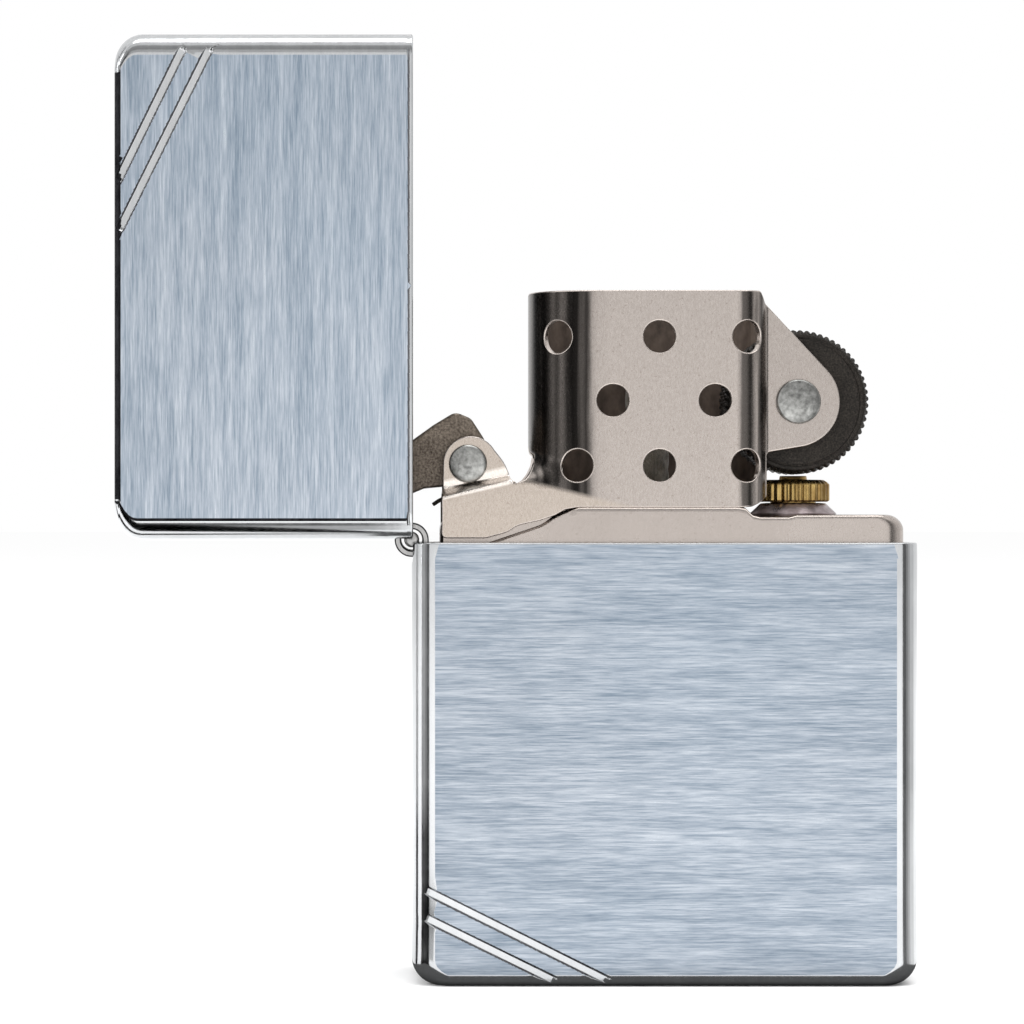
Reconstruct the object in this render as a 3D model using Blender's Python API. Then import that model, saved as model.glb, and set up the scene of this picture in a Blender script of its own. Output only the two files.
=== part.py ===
"""Flip-top windproof petrol lighter, as the separate pieces that it comes apart into.

Metres, +Z up. The origin is the centre of the case's bottom face, +X points to the side of the flint
wheel, away from the hinge, and +Y to the back. The lid stands open at a right angle, on its stop, and
the insert is all the way down in the case.
"""

import math

import bmesh
import bpy
from mathutils import Vector

MM = 0.001
OVERRUN = 1.0 * MM  # how far a cutter runs past what it cuts
DEPTH = 8 * MM  # beyond the front and back of everything

# Driving dimensions: the two outer shells
SHELL_HALF_X = 19.05 * MM
SHELL_HALF_Y = 6.4 * MM
CASE_HEIGHT = 33.3 * MM
LID_HEIGHT = 22.4 * MM
MOUTH_GAP = 0.1 * MM
WALL = 0.65 * MM
PLAN_RADIUS = 1.75 * MM
EDGE_RADIUS_X = 2.1 * MM
EDGE_RADIUS_Y = 0.9 * MM
SLASH_WIDTH = 0.57 * MM
SLASH_DEPTH = 0.2 * MM

# Hinge
HINGE = Vector((-19.05 * MM, 0, 33.5 * MM))
BARREL_RADIUS = 1.3 * MM
LEAF_SHEET = 0.5 * MM
PIN_RADIUS = 0.6 * MM
PIN_HALF = 4.7 * MM
BARREL_HALF = 4.8 * MM
CASE_KNUCKLES = ((-4.8 * MM, -3.0 * MM), (-1.0 * MM, 1.0 * MM), (3.0 * MM, 4.8 * MM))
LID_KNUCKLES = ((-2.8 * MM, -1.2 * MM), (1.2 * MM, 2.8 * MM))
LEAF_LENGTH = 9.0 * MM
LEAF_GAP = 0.05 * MM
ROLL_ANGLE = 290
NOTCH = 1.55 * MM
NOTCH_HALF = 5.1 * MM
NOTCH_REACH = 2.0 * MM
LID_OPEN = math.radians(90)

# Insert: the tank, below the chimney
TANK_LEFT = -16.9 * MM
TANK_RIGHT = 18.1 * MM
TANK_HALF_Y = 5.5 * MM
TANK_BOTTOM = 1.5 * MM
TANK_TOP = 35.5 * MM
TANK_WALL = 0.45 * MM
TANK_CORNER = 1.6 * MM
SHOULDER = 0.7 * MM
EASED = 0.2 * MM
NARROW_START = 1.2 * MM
NARROW_END = 0.8 * MM
RECESS_Y = 4.75 * MM

# Chimney
SHEET = 0.5 * MM
CHIMNEY_LEFT = -10.1 * MM
CHIMNEY_RIGHT = 7.7 * MM
CHIMNEY_HALF_Y = 5.3 * MM
CHIMNEY_BOTTOM = 35.7 * MM
CHIMNEY_TOP = 52.3 * MM
CHIMNEY_ROUND = 4.6 * MM
CHIMNEY_CORNER = 2.1 * MM
CHIMNEY_MIDDLE = -5.0 * MM
SKIRT_LEFT = -16.8 * MM
SKIRT_BOTTOM = 33.6 * MM
SKIRT_SLOPE = (-13.8 * MM, -7.6 * MM)
SKIRT_LAP = 0.02 * MM
SKIRT_CLEARANCE = 0.3 * MM
SKIRT_FILLET = (0.8 * MM, 0.6 * MM)
FOLD_BOTTOM = 36.9 * MM
FOLD_TOP = 38.0 * MM
CAM_EAR_RIGHT = -11.6 * MM
CAM_EAR_ROOT = 0.4 * MM
WHEEL_EAR_RADIUS = 3.47 * MM
WHEEL_EAR_SHIFT = -0.2 * MM
WHEEL_EAR_END = 14.0 * MM
WHEEL_EAR_BENDS = (-78, 43)
WHEEL_EAR_ROOTS = (-3.9 * MM, 7.3 * MM)
CORNER_CUT = 0.4 * MM
FOOT_CUT = (1.4 * MM, 0.8 * MM)
WHEEL_EAR_Y = 3.7 * MM
CAM_EAR_Y = 3.9 * MM
HOLE_RADIUS = 1.24 * MM
HOLE_SIDES = 12
RIVET_CLEARANCE = 0.2 * MM
RIVET_GAP = 0.15 * MM
RIVET_HEAD = 0.45 * MM
RIVET_DOME = 0.12 * MM
ROW_HEIGHTS = (48.8 * MM, 44.0 * MM, 39.1 * MM)
FRONT_HOLES = (
    (-8.1 * MM, -0.4 * MM, 6.3 * MM),
    (-3.9 * MM, 3.8 * MM),
    (-6.6 * MM, -0.4 * MM, 6.2 * MM),
)
BACK_HOLES = ((-3.9 * MM, 3.8 * MM), (-8.1 * MM, -0.4 * MM, 6.3 * MM), (-3.3 * MM, 3.1 * MM))

# Cam, its rivet and its spring
CAM_AXIS = Vector((-14.8 * MM, 0, 39.25 * MM))
CAM_HALF_Y = 3.1 * MM
CAM_EAR_RADIUS = 2.1 * MM
CAM_EAR_SHIFT = 0.2 * MM
CAM_RIVET_RADIUS = 1.05 * MM
CAM_RIVET_HEAD = 1.5 * MM
LEAF_SPRING_SHEET = 0.3 * MM
LEAF_SPRING_HALF_Y = 2.4 * MM
LEAF_SPRING_LEVELS = (35.8 * MM, 36.5 * MM)
LEAF_SPRING_LEFT = -16.0 * MM
LEAF_SPRING_BEND = -11.1 * MM
LEAF_SPRING_TIP = ((-15.4 * MM, 36.6 * MM), (-16.6 * MM, 36.5 * MM), (-17.5 * MM, 36.0 * MM))

# Flint wheel and its rivet
WHEEL_AXIS = Vector((10.2 * MM, 0, 43.95 * MM))
WHEEL_RADIUS = 5.5 * MM
WHEEL_HALF_Y = 2.9 * MM
WHEEL_TEETH = 40
TOOTH_DEPTH = 0.3 * MM
WHEEL_EDGE = 0.35 * MM
WHEEL_RIVET_RADIUS = 1.05 * MM
WHEEL_RIVET_HEAD = 1.72 * MM
BORE_CLEARANCE = 0.3 * MM

# Flint column, from the screw at the bottom to the flint under the wheel
FLINT_AXIS_X = WHEEL_AXIS.x
FLINT_RADIUS = 1.2 * MM
FLINT_BOTTOM = 33.2 * MM
FLINT_TOP = 39.5 * MM
FLINT_GAP = 0.2 * MM
TUBE_BORE = 1.45 * MM
TUBE_RADIUS = 1.75 * MM
TUBE_BOTTOM = 2.3 * MM
TUBE_TOP = 37.3 * MM
TUBE_CLEARANCE = 0.25 * MM
COLLAR_RADIUS = 2.8 * MM
COLLAR_BOTTOM = 36.4 * MM
COLLAR_TOP = 38.1 * MM
COLLAR_TEETH = 30
COLLAR_TOOTH_DEPTH = 0.15 * MM
COLLAR_EDGE = (0.48 * MM, 0.39 * MM)
WASHER_RADIUS = 3.3 * MM
WASHER_BOTTOM = 35.7 * MM
WASHER_EDGE = 0.2 * MM
WASHER_GAP = 0.2 * MM
SCREW_HEAD_RADIUS = 2.6 * MM
SCREW_BOTTOM = 0.95 * MM
SCREW_HEAD_TOP = 1.85 * MM
SCREW_TOP = 7.0 * MM
SCREW_EDGE = 0.2 * MM
SCREW_END = 0.3 * MM
SCREW_SLOT = (0.7 * MM, 0.45 * MM)
SPRING_BOTTOM = 7.2 * MM
SPRING_TOP = 30.9 * MM
SPRING_RADIUS = 0.85 * MM
SPRING_WIRE = 0.22 * MM
SPRING_TURNS = 16
TIP_TOP = 33.0 * MM
TIP_RADIUS = 1.1 * MM
TIP_CONE = (0.3 * MM, 0.2 * MM)
TIP_STEM = (0.4 * MM, 1.4 * MM)
TIP_SEAT = 0.2 * MM

# Wick and packing
WICK_X = -1.0 * MM
WICK_RADIUS = 1.7 * MM
WICK_BOTTOM = 6.0 * MM
WICK_TOP = 46.0 * MM
WICK_ENDS = ((0.2 * MM, 0.4 * MM), (0.5 * MM, 0.6 * MM))
FELT_TOP = 3.9 * MM
FELT_BOTTOM = 1.9 * MM
FELT_CORNER = 1.0 * MM
FELT_HOLE = 2.65 * MM
PACKING_GAP = 0.3 * MM
PACKING_END = 0.4 * MM
PACKING_HEADROOM = 3.2 * MM


def clear_scene():
    for thing in list(bpy.data.objects):
        bpy.data.objects.remove(thing, do_unlink=True)


def finish(name, colour, roughness, metallic):
    """A Principled material of one colour."""
    made = bpy.data.materials.new(name)
    made.use_nodes = True
    shader = made.node_tree.nodes["Principled BSDF"]
    shader.inputs["Base Color"].default_value = (*colour, 1)
    shader.inputs["Roughness"].default_value = roughness
    shader.inputs["Metallic"].default_value = metallic
    return made


def axis_empty(name, place, parent=None):
    """An empty on a joint's axis, which the pieces that move about it hang from."""
    made = bpy.data.objects.new(name, None)
    bpy.context.scene.collection.objects.link(made)
    made.location = place
    made.parent = parent
    return made


def piece(name, mesh, material, parent=None):
    mesh.materials.clear()
    mesh.materials.append(material)
    mesh.shade_smooth()
    mesh.set_sharp_from_angle(angle=math.radians(35))
    made = bpy.data.objects.new(name, mesh)
    bpy.context.scene.collection.objects.link(made)
    made.parent = parent
    return made


def change(target, mesh, operation):
    """Cuts, joins or intersects the target with a mesh in the target's own coordinates."""
    tool = bpy.data.objects.new(f"{mesh.name}_tool", mesh)
    bpy.context.scene.collection.objects.link(tool)
    tool.parent = target
    tool.hide_render = True
    tool.display_type = "WIRE"
    boolean = target.modifiers.new(tool.name, "BOOLEAN")
    boolean.operation = operation
    boolean.solver = "EXACT"
    boolean.object = tool


def mesh_of(name, shape):
    bmesh.ops.recalc_face_normals(shape, faces=shape.faces)
    mesh = bpy.data.meshes.new(name)
    shape.to_mesh(mesh)
    shape.free()
    return mesh


def arc(centre, radius, start, end, steps):
    """Points of an arc in a plane, angles in degrees."""
    angles = [math.radians(start + (end - start) * i / steps) for i in range(steps + 1)]
    return [(centre[0] + radius * math.cos(a), centre[1] + radius * math.sin(a)) for a in angles]


def rounded_rectangle(centre_x, half_x, half_y, radius, steps=5):
    outline = []
    for sign_x, sign_y, start in ((1, 1, 0), (-1, 1, 90), (-1, -1, 180), (1, -1, 270)):
        corner = (centre_x + sign_x * (half_x - radius), sign_y * (half_y - radius))
        outline += arc(corner, radius, start, start + 90, steps)
    return outline


def loft(name, levels):
    """A closed body through levels of (z, outline), every outline with as many points."""
    shape = bmesh.new()
    rings = [[shape.verts.new((x, y, z)) for x, y in outline] for z, outline in levels]
    for low, high in zip(rings, rings[1:]):
        for i in range(len(low)):
            j = (i + 1) % len(low)
            shape.faces.new((low[i], low[j], high[j], high[i]))
    shape.faces.new(rings[0])
    shape.faces.new(rings[-1])
    return mesh_of(name, shape)


def add_prism(shape, outline, low, high, axis):
    """Adds an outline drawn square to the axis and extruded along it."""
    places = {
        "X": lambda a, b, along: (along, a, b),
        "Y": lambda a, b, along: (a, along, b),
        "Z": lambda a, b, along: (a, b, along),
    }
    rings = [[shape.verts.new(places[axis](a, b, along)) for a, b in outline] for along in (low, high)]
    for i in range(len(outline)):
        j = (i + 1) % len(outline)
        shape.faces.new((rings[0][i], rings[0][j], rings[1][j], rings[1][i]))
    shape.faces.new(rings[0])
    shape.faces.new(rings[1])


def prism(name, outline, low, high, axis):
    shape = bmesh.new()
    add_prism(shape, outline, low, high, axis)
    return mesh_of(name, shape)


def prisms(name, parts, axis):
    """One mesh of several prisms, each given as (outline, low, high)."""
    shape = bmesh.new()
    for outline, low, high in parts:
        add_prism(shape, outline, low, high, axis)
    return mesh_of(name, shape)


def disc(centre, radius, steps=16):
    return arc(centre, radius, 0, 360, steps)[:-1]


def turned(name, profile, axis="Z", steps=24, teeth=None):
    """A closed profile of (radius, height) turned about an axis. Teeth are (count, depth), cut as
    notches in the widest points of the profile."""
    count, depth = teeth or (0, 0)
    around = 2 * count if teeth else steps
    widest = max(radius for radius, _ in profile)
    shape = bmesh.new()
    rings = []
    for i in range(around):
        angle = math.tau * i / around
        ring = []
        for radius, height in profile:
            if teeth and radius == widest and i % 2:
                radius -= depth
            a, b = radius * math.cos(angle), radius * math.sin(angle)
            ring.append(shape.verts.new((a, b, height) if axis == "Z" else (a, height, b)))
        rings.append(ring)
    for i in range(around):
        here, there = rings[i], rings[(i + 1) % around]
        for j in range(len(profile)):
            k = (j + 1) % len(profile)
            shape.faces.new((here[j], here[k], there[k], there[j]))
    return mesh_of(name, shape)


def turned_solid(name, profile, axis="Z", steps=20):
    """A solid of revolution whose profile of (radius, height) runs from its bottom to its top."""
    shape = bmesh.new()
    rings = []
    for radius, height in profile:
        ring = []
        for i in range(steps):
            angle = math.tau * i / steps
            a, b = radius * math.cos(angle), radius * math.sin(angle)
            ring.append(shape.verts.new((a, b, height) if axis == "Z" else (a, height, b)))
        rings.append(ring)
    for low, high in zip(rings, rings[1:]):
        for i in range(steps):
            j = (i + 1) % steps
            shape.faces.new((low[i], low[j], high[j], high[i]))
    shape.faces.new(rings[0])
    shape.faces.new(rings[-1])
    return mesh_of(name, shape)


def thickened(path, sheet):
    """The outline of a bent sheet, whose one face follows the path and whose other lies to its left."""
    points = [Vector(p) for p in path]
    runs = [(b - a).normalized() for a, b in zip(points, points[1:])]
    other = []
    for i, point in enumerate(points):
        before, after = runs[max(i - 1, 0)], runs[min(i, len(runs) - 1)]
        normal = Vector((-(before.y + after.y), before.x + after.x)).normalized()
        side = Vector((-after.y, after.x))
        other.append(point + normal * sheet / max(normal.dot(side), 0.3))
    return [tuple(p) for p in points] + [tuple(p) for p in reversed(other)]


# Outer shells


def inset(height, radius):
    """How far a round edge stands in from the side, at a height above the flat end."""
    if height >= radius:
        return 0
    return radius - math.sqrt(radius**2 - (radius - height) ** 2)


def shell_levels(height):
    """Levels of a drawn shell that stands on its flat end, from the outside of that end to the inside."""
    outer_heights = [EDGE_RADIUS_X * (1 - math.cos(math.radians(a))) for a in range(0, 91, 15)]
    levels = []
    for z in [*outer_heights, height]:
        half_x = SHELL_HALF_X - inset(z, EDGE_RADIUS_X)
        half_y = SHELL_HALF_Y - inset(z, EDGE_RADIUS_Y)
        levels.append((z, rounded_rectangle(0, half_x, half_y, PLAN_RADIUS)))
    edge = EDGE_RADIUS_X - WALL
    inner_heights = [edge * (1 - math.cos(math.radians(a))) for a in range(90, -1, -30)]
    for z in [height - WALL, *inner_heights]:
        half_x = SHELL_HALF_X - WALL - inset(z, edge)
        half_y = SHELL_HALF_Y - WALL - inset(z, EDGE_RADIUS_Y - WALL)
        levels.append((z + WALL, rounded_rectangle(0, half_x, half_y, PLAN_RADIUS - WALL)))
    return levels


def slash(start, end, side):
    """A flat-bottomed diagonal groove across the front (side -1) or back (side 1) of a shell."""
    along = (Vector(end) - Vector(start)).normalized()
    across = Vector((-along.y, along.x)) * SLASH_WIDTH / 2
    first, last = Vector(start) - along * OVERRUN, Vector(end) + along * OVERRUN
    outline = [first - across, last - across, last + across, first + across]
    faces = sorted((side * (SHELL_HALF_Y - SLASH_DEPTH), side * (SHELL_HALF_Y + OVERRUN)))
    return [tuple(p) for p in outline], *faces


def cut_slashes(shell, slashes):
    for i, (start, end) in enumerate(slashes, 1):
        grooves = [slash(start, end, side) for side in (-1, 1)]
        change(shell, prisms(f"{shell.name}_slash_{i}", grooves, "Y"), "DIFFERENCE")


def notch_box():
    """The opening in a shell's hinge wall for the barrel, seen from above."""
    return [
        (HINGE.x - NOTCH_REACH, -NOTCH_HALF),
        (HINGE.x + NOTCH_REACH, -NOTCH_HALF),
        (HINGE.x + NOTCH_REACH, NOTCH_HALF),
        (HINGE.x - NOTCH_REACH, NOTCH_HALF),
    ]


# Where the diagonal grooves run: the case's from the origin, the closed lid's from the hinge axis
CASE_SLASHES = (
    ((-17.5 * MM, 7.0 * MM), (-4.7 * MM, 0.65 * MM)),
    ((-17.5 * MM, 4.95 * MM), (-8.7 * MM, 0.65 * MM)),
)
LID_SLASHES = (
    ((27.45 * MM, 21.75 * MM), (36.55 * MM, 17.3 * MM)),
    ((23.75 * MM, 21.65 * MM), (36.55 * MM, 15.3 * MM)),
)


def case_shell(steel):
    made = piece("case_shell", loft("case_shell", shell_levels(CASE_HEIGHT)), steel)
    hinge_notch = prism("case_notch", notch_box(), HINGE.z - NOTCH, CASE_HEIGHT + OVERRUN, "Z")
    change(made, hinge_notch, "DIFFERENCE")
    cut_slashes(made, CASE_SLASHES)
    return made


def lid_shell(steel, lid_axis):
    """The lid, modelled closed, in coordinates of the hinge axis."""
    mouth = CASE_HEIGHT + MOUTH_GAP
    top = mouth + LID_HEIGHT
    levels = [
        (top - z - HINGE.z, [(x - HINGE.x, y) for x, y in outline])
        for z, outline in shell_levels(LID_HEIGHT)
    ]
    made = piece("lid_shell", loft("lid_shell", levels), steel, lid_axis)
    box = [(x - HINGE.x, y) for x, y in notch_box()]
    change(made, prism("lid_notch", box, mouth - HINGE.z - OVERRUN, NOTCH, "Z"), "DIFFERENCE")
    cut_slashes(made, LID_SLASHES)
    return made


# Hinge


def hinge_leaf(name, knuckles, upward, steel, parent):
    """A flat leaf with rolled knuckles, in coordinates of the hinge axis. The case's leaf hangs down
    and rolls over the top of the pin, and the lid's is its mirror image."""
    sense = 1 if upward else -1
    inner = BARREL_RADIUS - LEAF_SHEET
    plate = [
        (inner, sense * (NOTCH + LEAF_GAP)),
        (BARREL_RADIUS, sense * (NOTCH + LEAF_GAP)),
        (BARREL_RADIUS, sense * (NOTCH + LEAF_LENGTH)),
        (inner, sense * (NOTCH + LEAF_LENGTH)),
    ]
    roll = [
        (inner, sense * (NOTCH + OVERRUN)),
        *[(x, -sense * z) for x, z in arc((0, 0), inner, 0, ROLL_ANGLE, 16)],
        *[(x, -sense * z) for x, z in arc((0, 0), BARREL_RADIUS, ROLL_ANGLE, 0, 18)],
        (BARREL_RADIUS, sense * (NOTCH + OVERRUN)),
    ]
    made = piece(name, prism(name, plate, -BARREL_HALF, BARREL_HALF, "Y"), steel, parent)
    rolls = [(roll, low, high) for low, high in knuckles]
    change(made, prisms(f"{name}_rolls", rolls, "Y"), "UNION")
    return made


def hinge_pin(steel, parent):
    profile = ((PIN_RADIUS, -PIN_HALF), (PIN_RADIUS, PIN_HALF))
    return piece("hinge_pin", turned_solid("hinge_pin", profile, "Y", 16), steel, parent)


# Insert


def tank_outline(left, right, half_y, radius=TANK_CORNER):
    return rounded_rectangle((left + right) / 2, (right - left) / 2, half_y, radius)


def skirt_outline(grow):
    """Front view of the chimney's skirt, where it laps over the tank's shoulder beside the hinge."""
    left = SKIRT_LEFT - 3 * grow
    return [
        (left, SKIRT_BOTTOM - grow),
        (SKIRT_SLOPE[0] + grow, SKIRT_BOTTOM - grow),
        (SKIRT_SLOPE[1] + grow, CHIMNEY_BOTTOM - grow),
        (SKIRT_SLOPE[1] + grow, FOLD_BOTTOM),
        (left, FOLD_BOTTOM),
    ]


def insert_tank(steel, parent):
    """A deep drawn box, open at the bottom, whose right end slopes in above the case's mouth."""
    shoulder = CASE_HEIGHT
    top_right = TANK_RIGHT - SHOULDER
    inner_y = TANK_HALF_Y - TANK_WALL
    narrow_y = RECESS_Y - TANK_WALL
    levels = [
        (TANK_TOP, tank_outline(TANK_LEFT + EASED, top_right - EASED, TANK_HALF_Y - EASED)),
        (TANK_TOP - EASED, tank_outline(TANK_LEFT, top_right, TANK_HALF_Y)),
        (shoulder, tank_outline(TANK_LEFT, TANK_RIGHT, TANK_HALF_Y)),
        (TANK_BOTTOM, tank_outline(TANK_LEFT, TANK_RIGHT, TANK_HALF_Y)),
    ]
    left, right = TANK_LEFT + TANK_WALL, TANK_RIGHT - TANK_WALL
    bore = TANK_CORNER - TANK_WALL
    levels += [
        (TANK_BOTTOM, tank_outline(left, right, inner_y, bore)),
        (shoulder - NARROW_START, tank_outline(left, right, inner_y, bore)),
        (shoulder - NARROW_END, tank_outline(left, right, narrow_y, bore)),
        (TANK_TOP - TANK_WALL, tank_outline(left, right - SHOULDER, narrow_y, bore)),
    ]
    made = piece("insert_tank", loft("insert_tank", levels), steel, parent)
    low, high = TANK_TOP - OVERRUN, TANK_TOP + OVERRUN
    holes = [
        (disc((WICK_X, 0), WICK_RADIUS + BORE_CLEARANCE), low, high),
        (disc((FLINT_AXIS_X, 0), TUBE_RADIUS + TUBE_CLEARANCE), low, high),
    ]
    change(made, prisms("tank_holes", holes, "Z"), "DIFFERENCE")
    skirt = skirt_outline(SKIRT_CLEARANCE)
    recesses = [(skirt, -DEPTH, -RECESS_Y), (skirt, RECESS_Y, DEPTH)]
    change(made, prisms("tank_recesses", recesses, "Y"), "DIFFERENCE")
    return made


def chimney_plan():
    """The bent sheet seen from above: round beside the cam, open beside the wheel, ears set inwards."""
    half = [
        (WHEEL_EAR_END, -WHEEL_EAR_Y),
        (CHIMNEY_RIGHT + CORNER_CUT, -WHEEL_EAR_Y),
    ]
    wheel_bend = (CHIMNEY_RIGHT - CHIMNEY_CORNER, -CHIMNEY_HALF_Y + CHIMNEY_CORNER)
    half += arc(wheel_bend, CHIMNEY_CORNER, -20, -90, 4)
    cam_bend = (CHIMNEY_LEFT + CHIMNEY_ROUND, -CHIMNEY_HALF_Y + CHIMNEY_ROUND)
    half += arc(cam_bend, CHIMNEY_ROUND, -90, -180, 6)
    back = [(x, -y) for x, y in reversed(half)]
    return thickened(list(reversed(half + back)), SHEET)


def chimney_front():
    """Front view of the chimney with the ears of the flint wheel."""
    ear = (WHEEL_AXIS.x + WHEEL_EAR_SHIFT, WHEEL_AXIS.z)
    edge = CHIMNEY_RIGHT + 0.1 * MM
    return [
        (CHIMNEY_LEFT - OVERRUN, CHIMNEY_BOTTOM),
        (edge - FOOT_CUT[0], CHIMNEY_BOTTOM),
        (edge, CHIMNEY_BOTTOM + FOOT_CUT[1]),
        (edge, WHEEL_AXIS.z + WHEEL_EAR_ROOTS[0]),
        *arc(ear, WHEEL_EAR_RADIUS, *WHEEL_EAR_BENDS, 10),
        (edge, WHEEL_AXIS.z + WHEEL_EAR_ROOTS[1]),
        (edge - CORNER_CUT, CHIMNEY_TOP),
        (CHIMNEY_LEFT - OVERRUN, CHIMNEY_TOP),
    ]


def cam_ear_front():
    """Front view of an ear that holds the cam."""
    centre = (CAM_AXIS.x + CAM_EAR_SHIFT, CAM_AXIS.z)
    return [
        (SKIRT_LEFT, FOLD_BOTTOM - CAM_EAR_ROOT),
        (CAM_EAR_RIGHT, FOLD_BOTTOM - CAM_EAR_ROOT),
        (CAM_EAR_RIGHT, FOLD_TOP),
        *arc(centre, CAM_EAR_RADIUS, 30, 175, 9),
        (SKIRT_LEFT, FOLD_TOP),
    ]


def chimney(steel, parent):
    """The wind guard, one bent sheet with two pairs of ears. The holes at the back stand between those
    at the front, so that none of them line up."""
    tall = prism("chimney", chimney_plan(), CHIMNEY_BOTTOM - OVERRUN, CHIMNEY_TOP + OVERRUN, "Z")
    made = piece("chimney", tall, steel, parent)
    change(made, prism("chimney_front", chimney_front(), -DEPTH, DEPTH, "Y"), "INTERSECT")
    outer, inner = CHIMNEY_HALF_Y - SKIRT_LAP, CHIMNEY_HALF_Y - SHEET + SKIRT_LAP
    skirt = [
        *skirt_outline(0)[:3],
        (CHIMNEY_MIDDLE, CHIMNEY_BOTTOM + SKIRT_LAP),
        (CHIMNEY_MIDDLE, FOLD_TOP + SKIRT_FILLET[1]),
        (CHIMNEY_LEFT, FOLD_TOP + SKIRT_FILLET[1]),
        (CHIMNEY_LEFT - SKIRT_FILLET[0], FOLD_TOP - 0.1 * MM),
        (CAM_EAR_RIGHT, FOLD_TOP - 0.1 * MM),
        (CAM_EAR_RIGHT, FOLD_BOTTOM),
        (SKIRT_LEFT, FOLD_BOTTOM),
    ]
    change(made, prisms("skirts", [(skirt, -outer, -inner), (skirt, inner, outer)], "Y"), "UNION")
    for side in (-1, 1):
        fold = [
            (side * outer, FOLD_BOTTOM - OVERRUN),
            (side * outer, FOLD_BOTTOM),
            (side * CAM_EAR_Y, FOLD_TOP),
            (side * CAM_EAR_Y, CAM_AXIS.z + CAM_EAR_RADIUS + OVERRUN),
        ]
        bent = thickened(fold, side * (SHEET - 2 * SKIRT_LAP))
        ear = prism("cam_ear", bent, SKIRT_LEFT - OVERRUN, CHIMNEY_LEFT, "X")
        block = bpy.data.objects.new(f"cam_ear_{side}", ear)
        bpy.context.scene.collection.objects.link(block)
        block.parent = made
        block.hide_render = True
        block.display_type = "WIRE"
        change(block, prism("ear_front", cam_ear_front(), -DEPTH, DEPTH, "Y"), "INTERSECT")
        union = made.modifiers.new(block.name, "BOOLEAN")
        union.operation = "UNION"
        union.object = block
    holes = []
    for rows, low, high in ((FRONT_HOLES, -DEPTH, -0.1 * MM), (BACK_HOLES, 0.1 * MM, DEPTH)):
        for z, row in zip(ROW_HEIGHTS, rows):
            holes += [(disc((x, z), HOLE_RADIUS, HOLE_SIDES), low, high) for x in row]
    for axis, shank in ((CAM_AXIS, CAM_RIVET_RADIUS), (WHEEL_AXIS, WHEEL_RIVET_RADIUS)):
        holes.append((disc((axis.x, axis.z), shank + RIVET_CLEARANCE, HOLE_SIDES), -DEPTH, DEPTH))
    change(made, prisms("chimney_holes", holes, "Y"), "DIFFERENCE")
    return made


# Cam


def cam_outline():
    """Front view of the cam about its pivot: a snail-shaped lobe over a nose that points at the hinge."""
    return [
        *arc((0, 0), 2.0 * MM, -125, 20, 10),
        (0.95 * MM, 2.06 * MM),
        *arc((-0.95 * MM, 2.75 * MM), 1.15 * MM, 25, 125, 6),
        (-4.2 * MM, 1.8 * MM),
        (-5.9 * MM, 0.4 * MM),
        (-7.2 * MM, -1.6 * MM),
        (-7.5 * MM, -3.2 * MM),
        (-6.9 * MM, -4.0 * MM),
        (-5.9 * MM, -3.3 * MM),
        (-4.9 * MM, -2.5 * MM),
        (-3.3 * MM, -1.85 * MM),
    ]


def cam(steel, cam_axis):
    made = piece("cam", prism("cam", cam_outline(), -CAM_HALF_Y, CAM_HALF_Y, "Y"), steel, cam_axis)
    bore = disc((0, 0), CAM_RIVET_RADIUS + BORE_CLEARANCE)
    change(made, prism("cam_bore", bore, -DEPTH, DEPTH, "Y"), "DIFFERENCE")
    return made


def rivet(name, shank, head, ear, steel, parent):
    """A rivet through two ears, with a domed head outside each."""
    near = ear + RIVET_GAP
    far = near + RIVET_HEAD
    profile = [
        (0.55 * head, -far),
        (0.9 * head, -far + RIVET_DOME),
        (head, -near),
        (shank, -near),
        (shank, near),
        (head, near),
        (0.9 * head, far - RIVET_DOME),
        (0.55 * head, far),
    ]
    return piece(name, turned_solid(name, profile, "Y", 16), steel, parent)


def cam_spring(steel, parent):
    """A leaf folded back on itself on top of the tank, whose pointed end bears on the cam."""
    low, high = LEAF_SPRING_LEVELS
    bend = (LEAF_SPRING_BEND, (low + high) / 2)
    path = [
        (LEAF_SPRING_LEFT, low),
        (bend[0], low),
        *arc(bend, (high - low) / 2, -60, 60, 4),
        (bend[0], high),
        *LEAF_SPRING_TIP,
    ]
    outline = thickened(path, LEAF_SPRING_SHEET)
    mesh = prism("cam_spring", outline, -LEAF_SPRING_HALF_Y, LEAF_SPRING_HALF_Y, "Y")
    return piece("cam_spring", mesh, steel, parent)


# Flint wheel


def flint_wheel(steel, wheel_axis):
    bore = WHEEL_RIVET_RADIUS + BORE_CLEARANCE
    profile = [
        (bore, -WHEEL_HALF_Y),
        (WHEEL_RADIUS - 2 * WHEEL_EDGE, -WHEEL_HALF_Y),
        (WHEEL_RADIUS, -WHEEL_HALF_Y + WHEEL_EDGE),
        (WHEEL_RADIUS, WHEEL_HALF_Y - WHEEL_EDGE),
        (WHEEL_RADIUS - 2 * WHEEL_EDGE, WHEEL_HALF_Y),
        (bore, WHEEL_HALF_Y),
    ]
    mesh = turned("flint_wheel", profile, "Y", teeth=(WHEEL_TEETH, TOOTH_DEPTH))
    return piece("flint_wheel", mesh, steel, wheel_axis)


# Flint column


def flint_tube(brass, parent):
    profile = [
        (TUBE_BORE, TUBE_BOTTOM),
        (TUBE_RADIUS, TUBE_BOTTOM),
        (TUBE_RADIUS, TUBE_TOP),
        (TUBE_BORE, TUBE_TOP),
    ]
    made = piece("flint_tube", turned("flint_tube", profile), brass, parent)
    made.location.x = FLINT_AXIS_X
    return made


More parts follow.
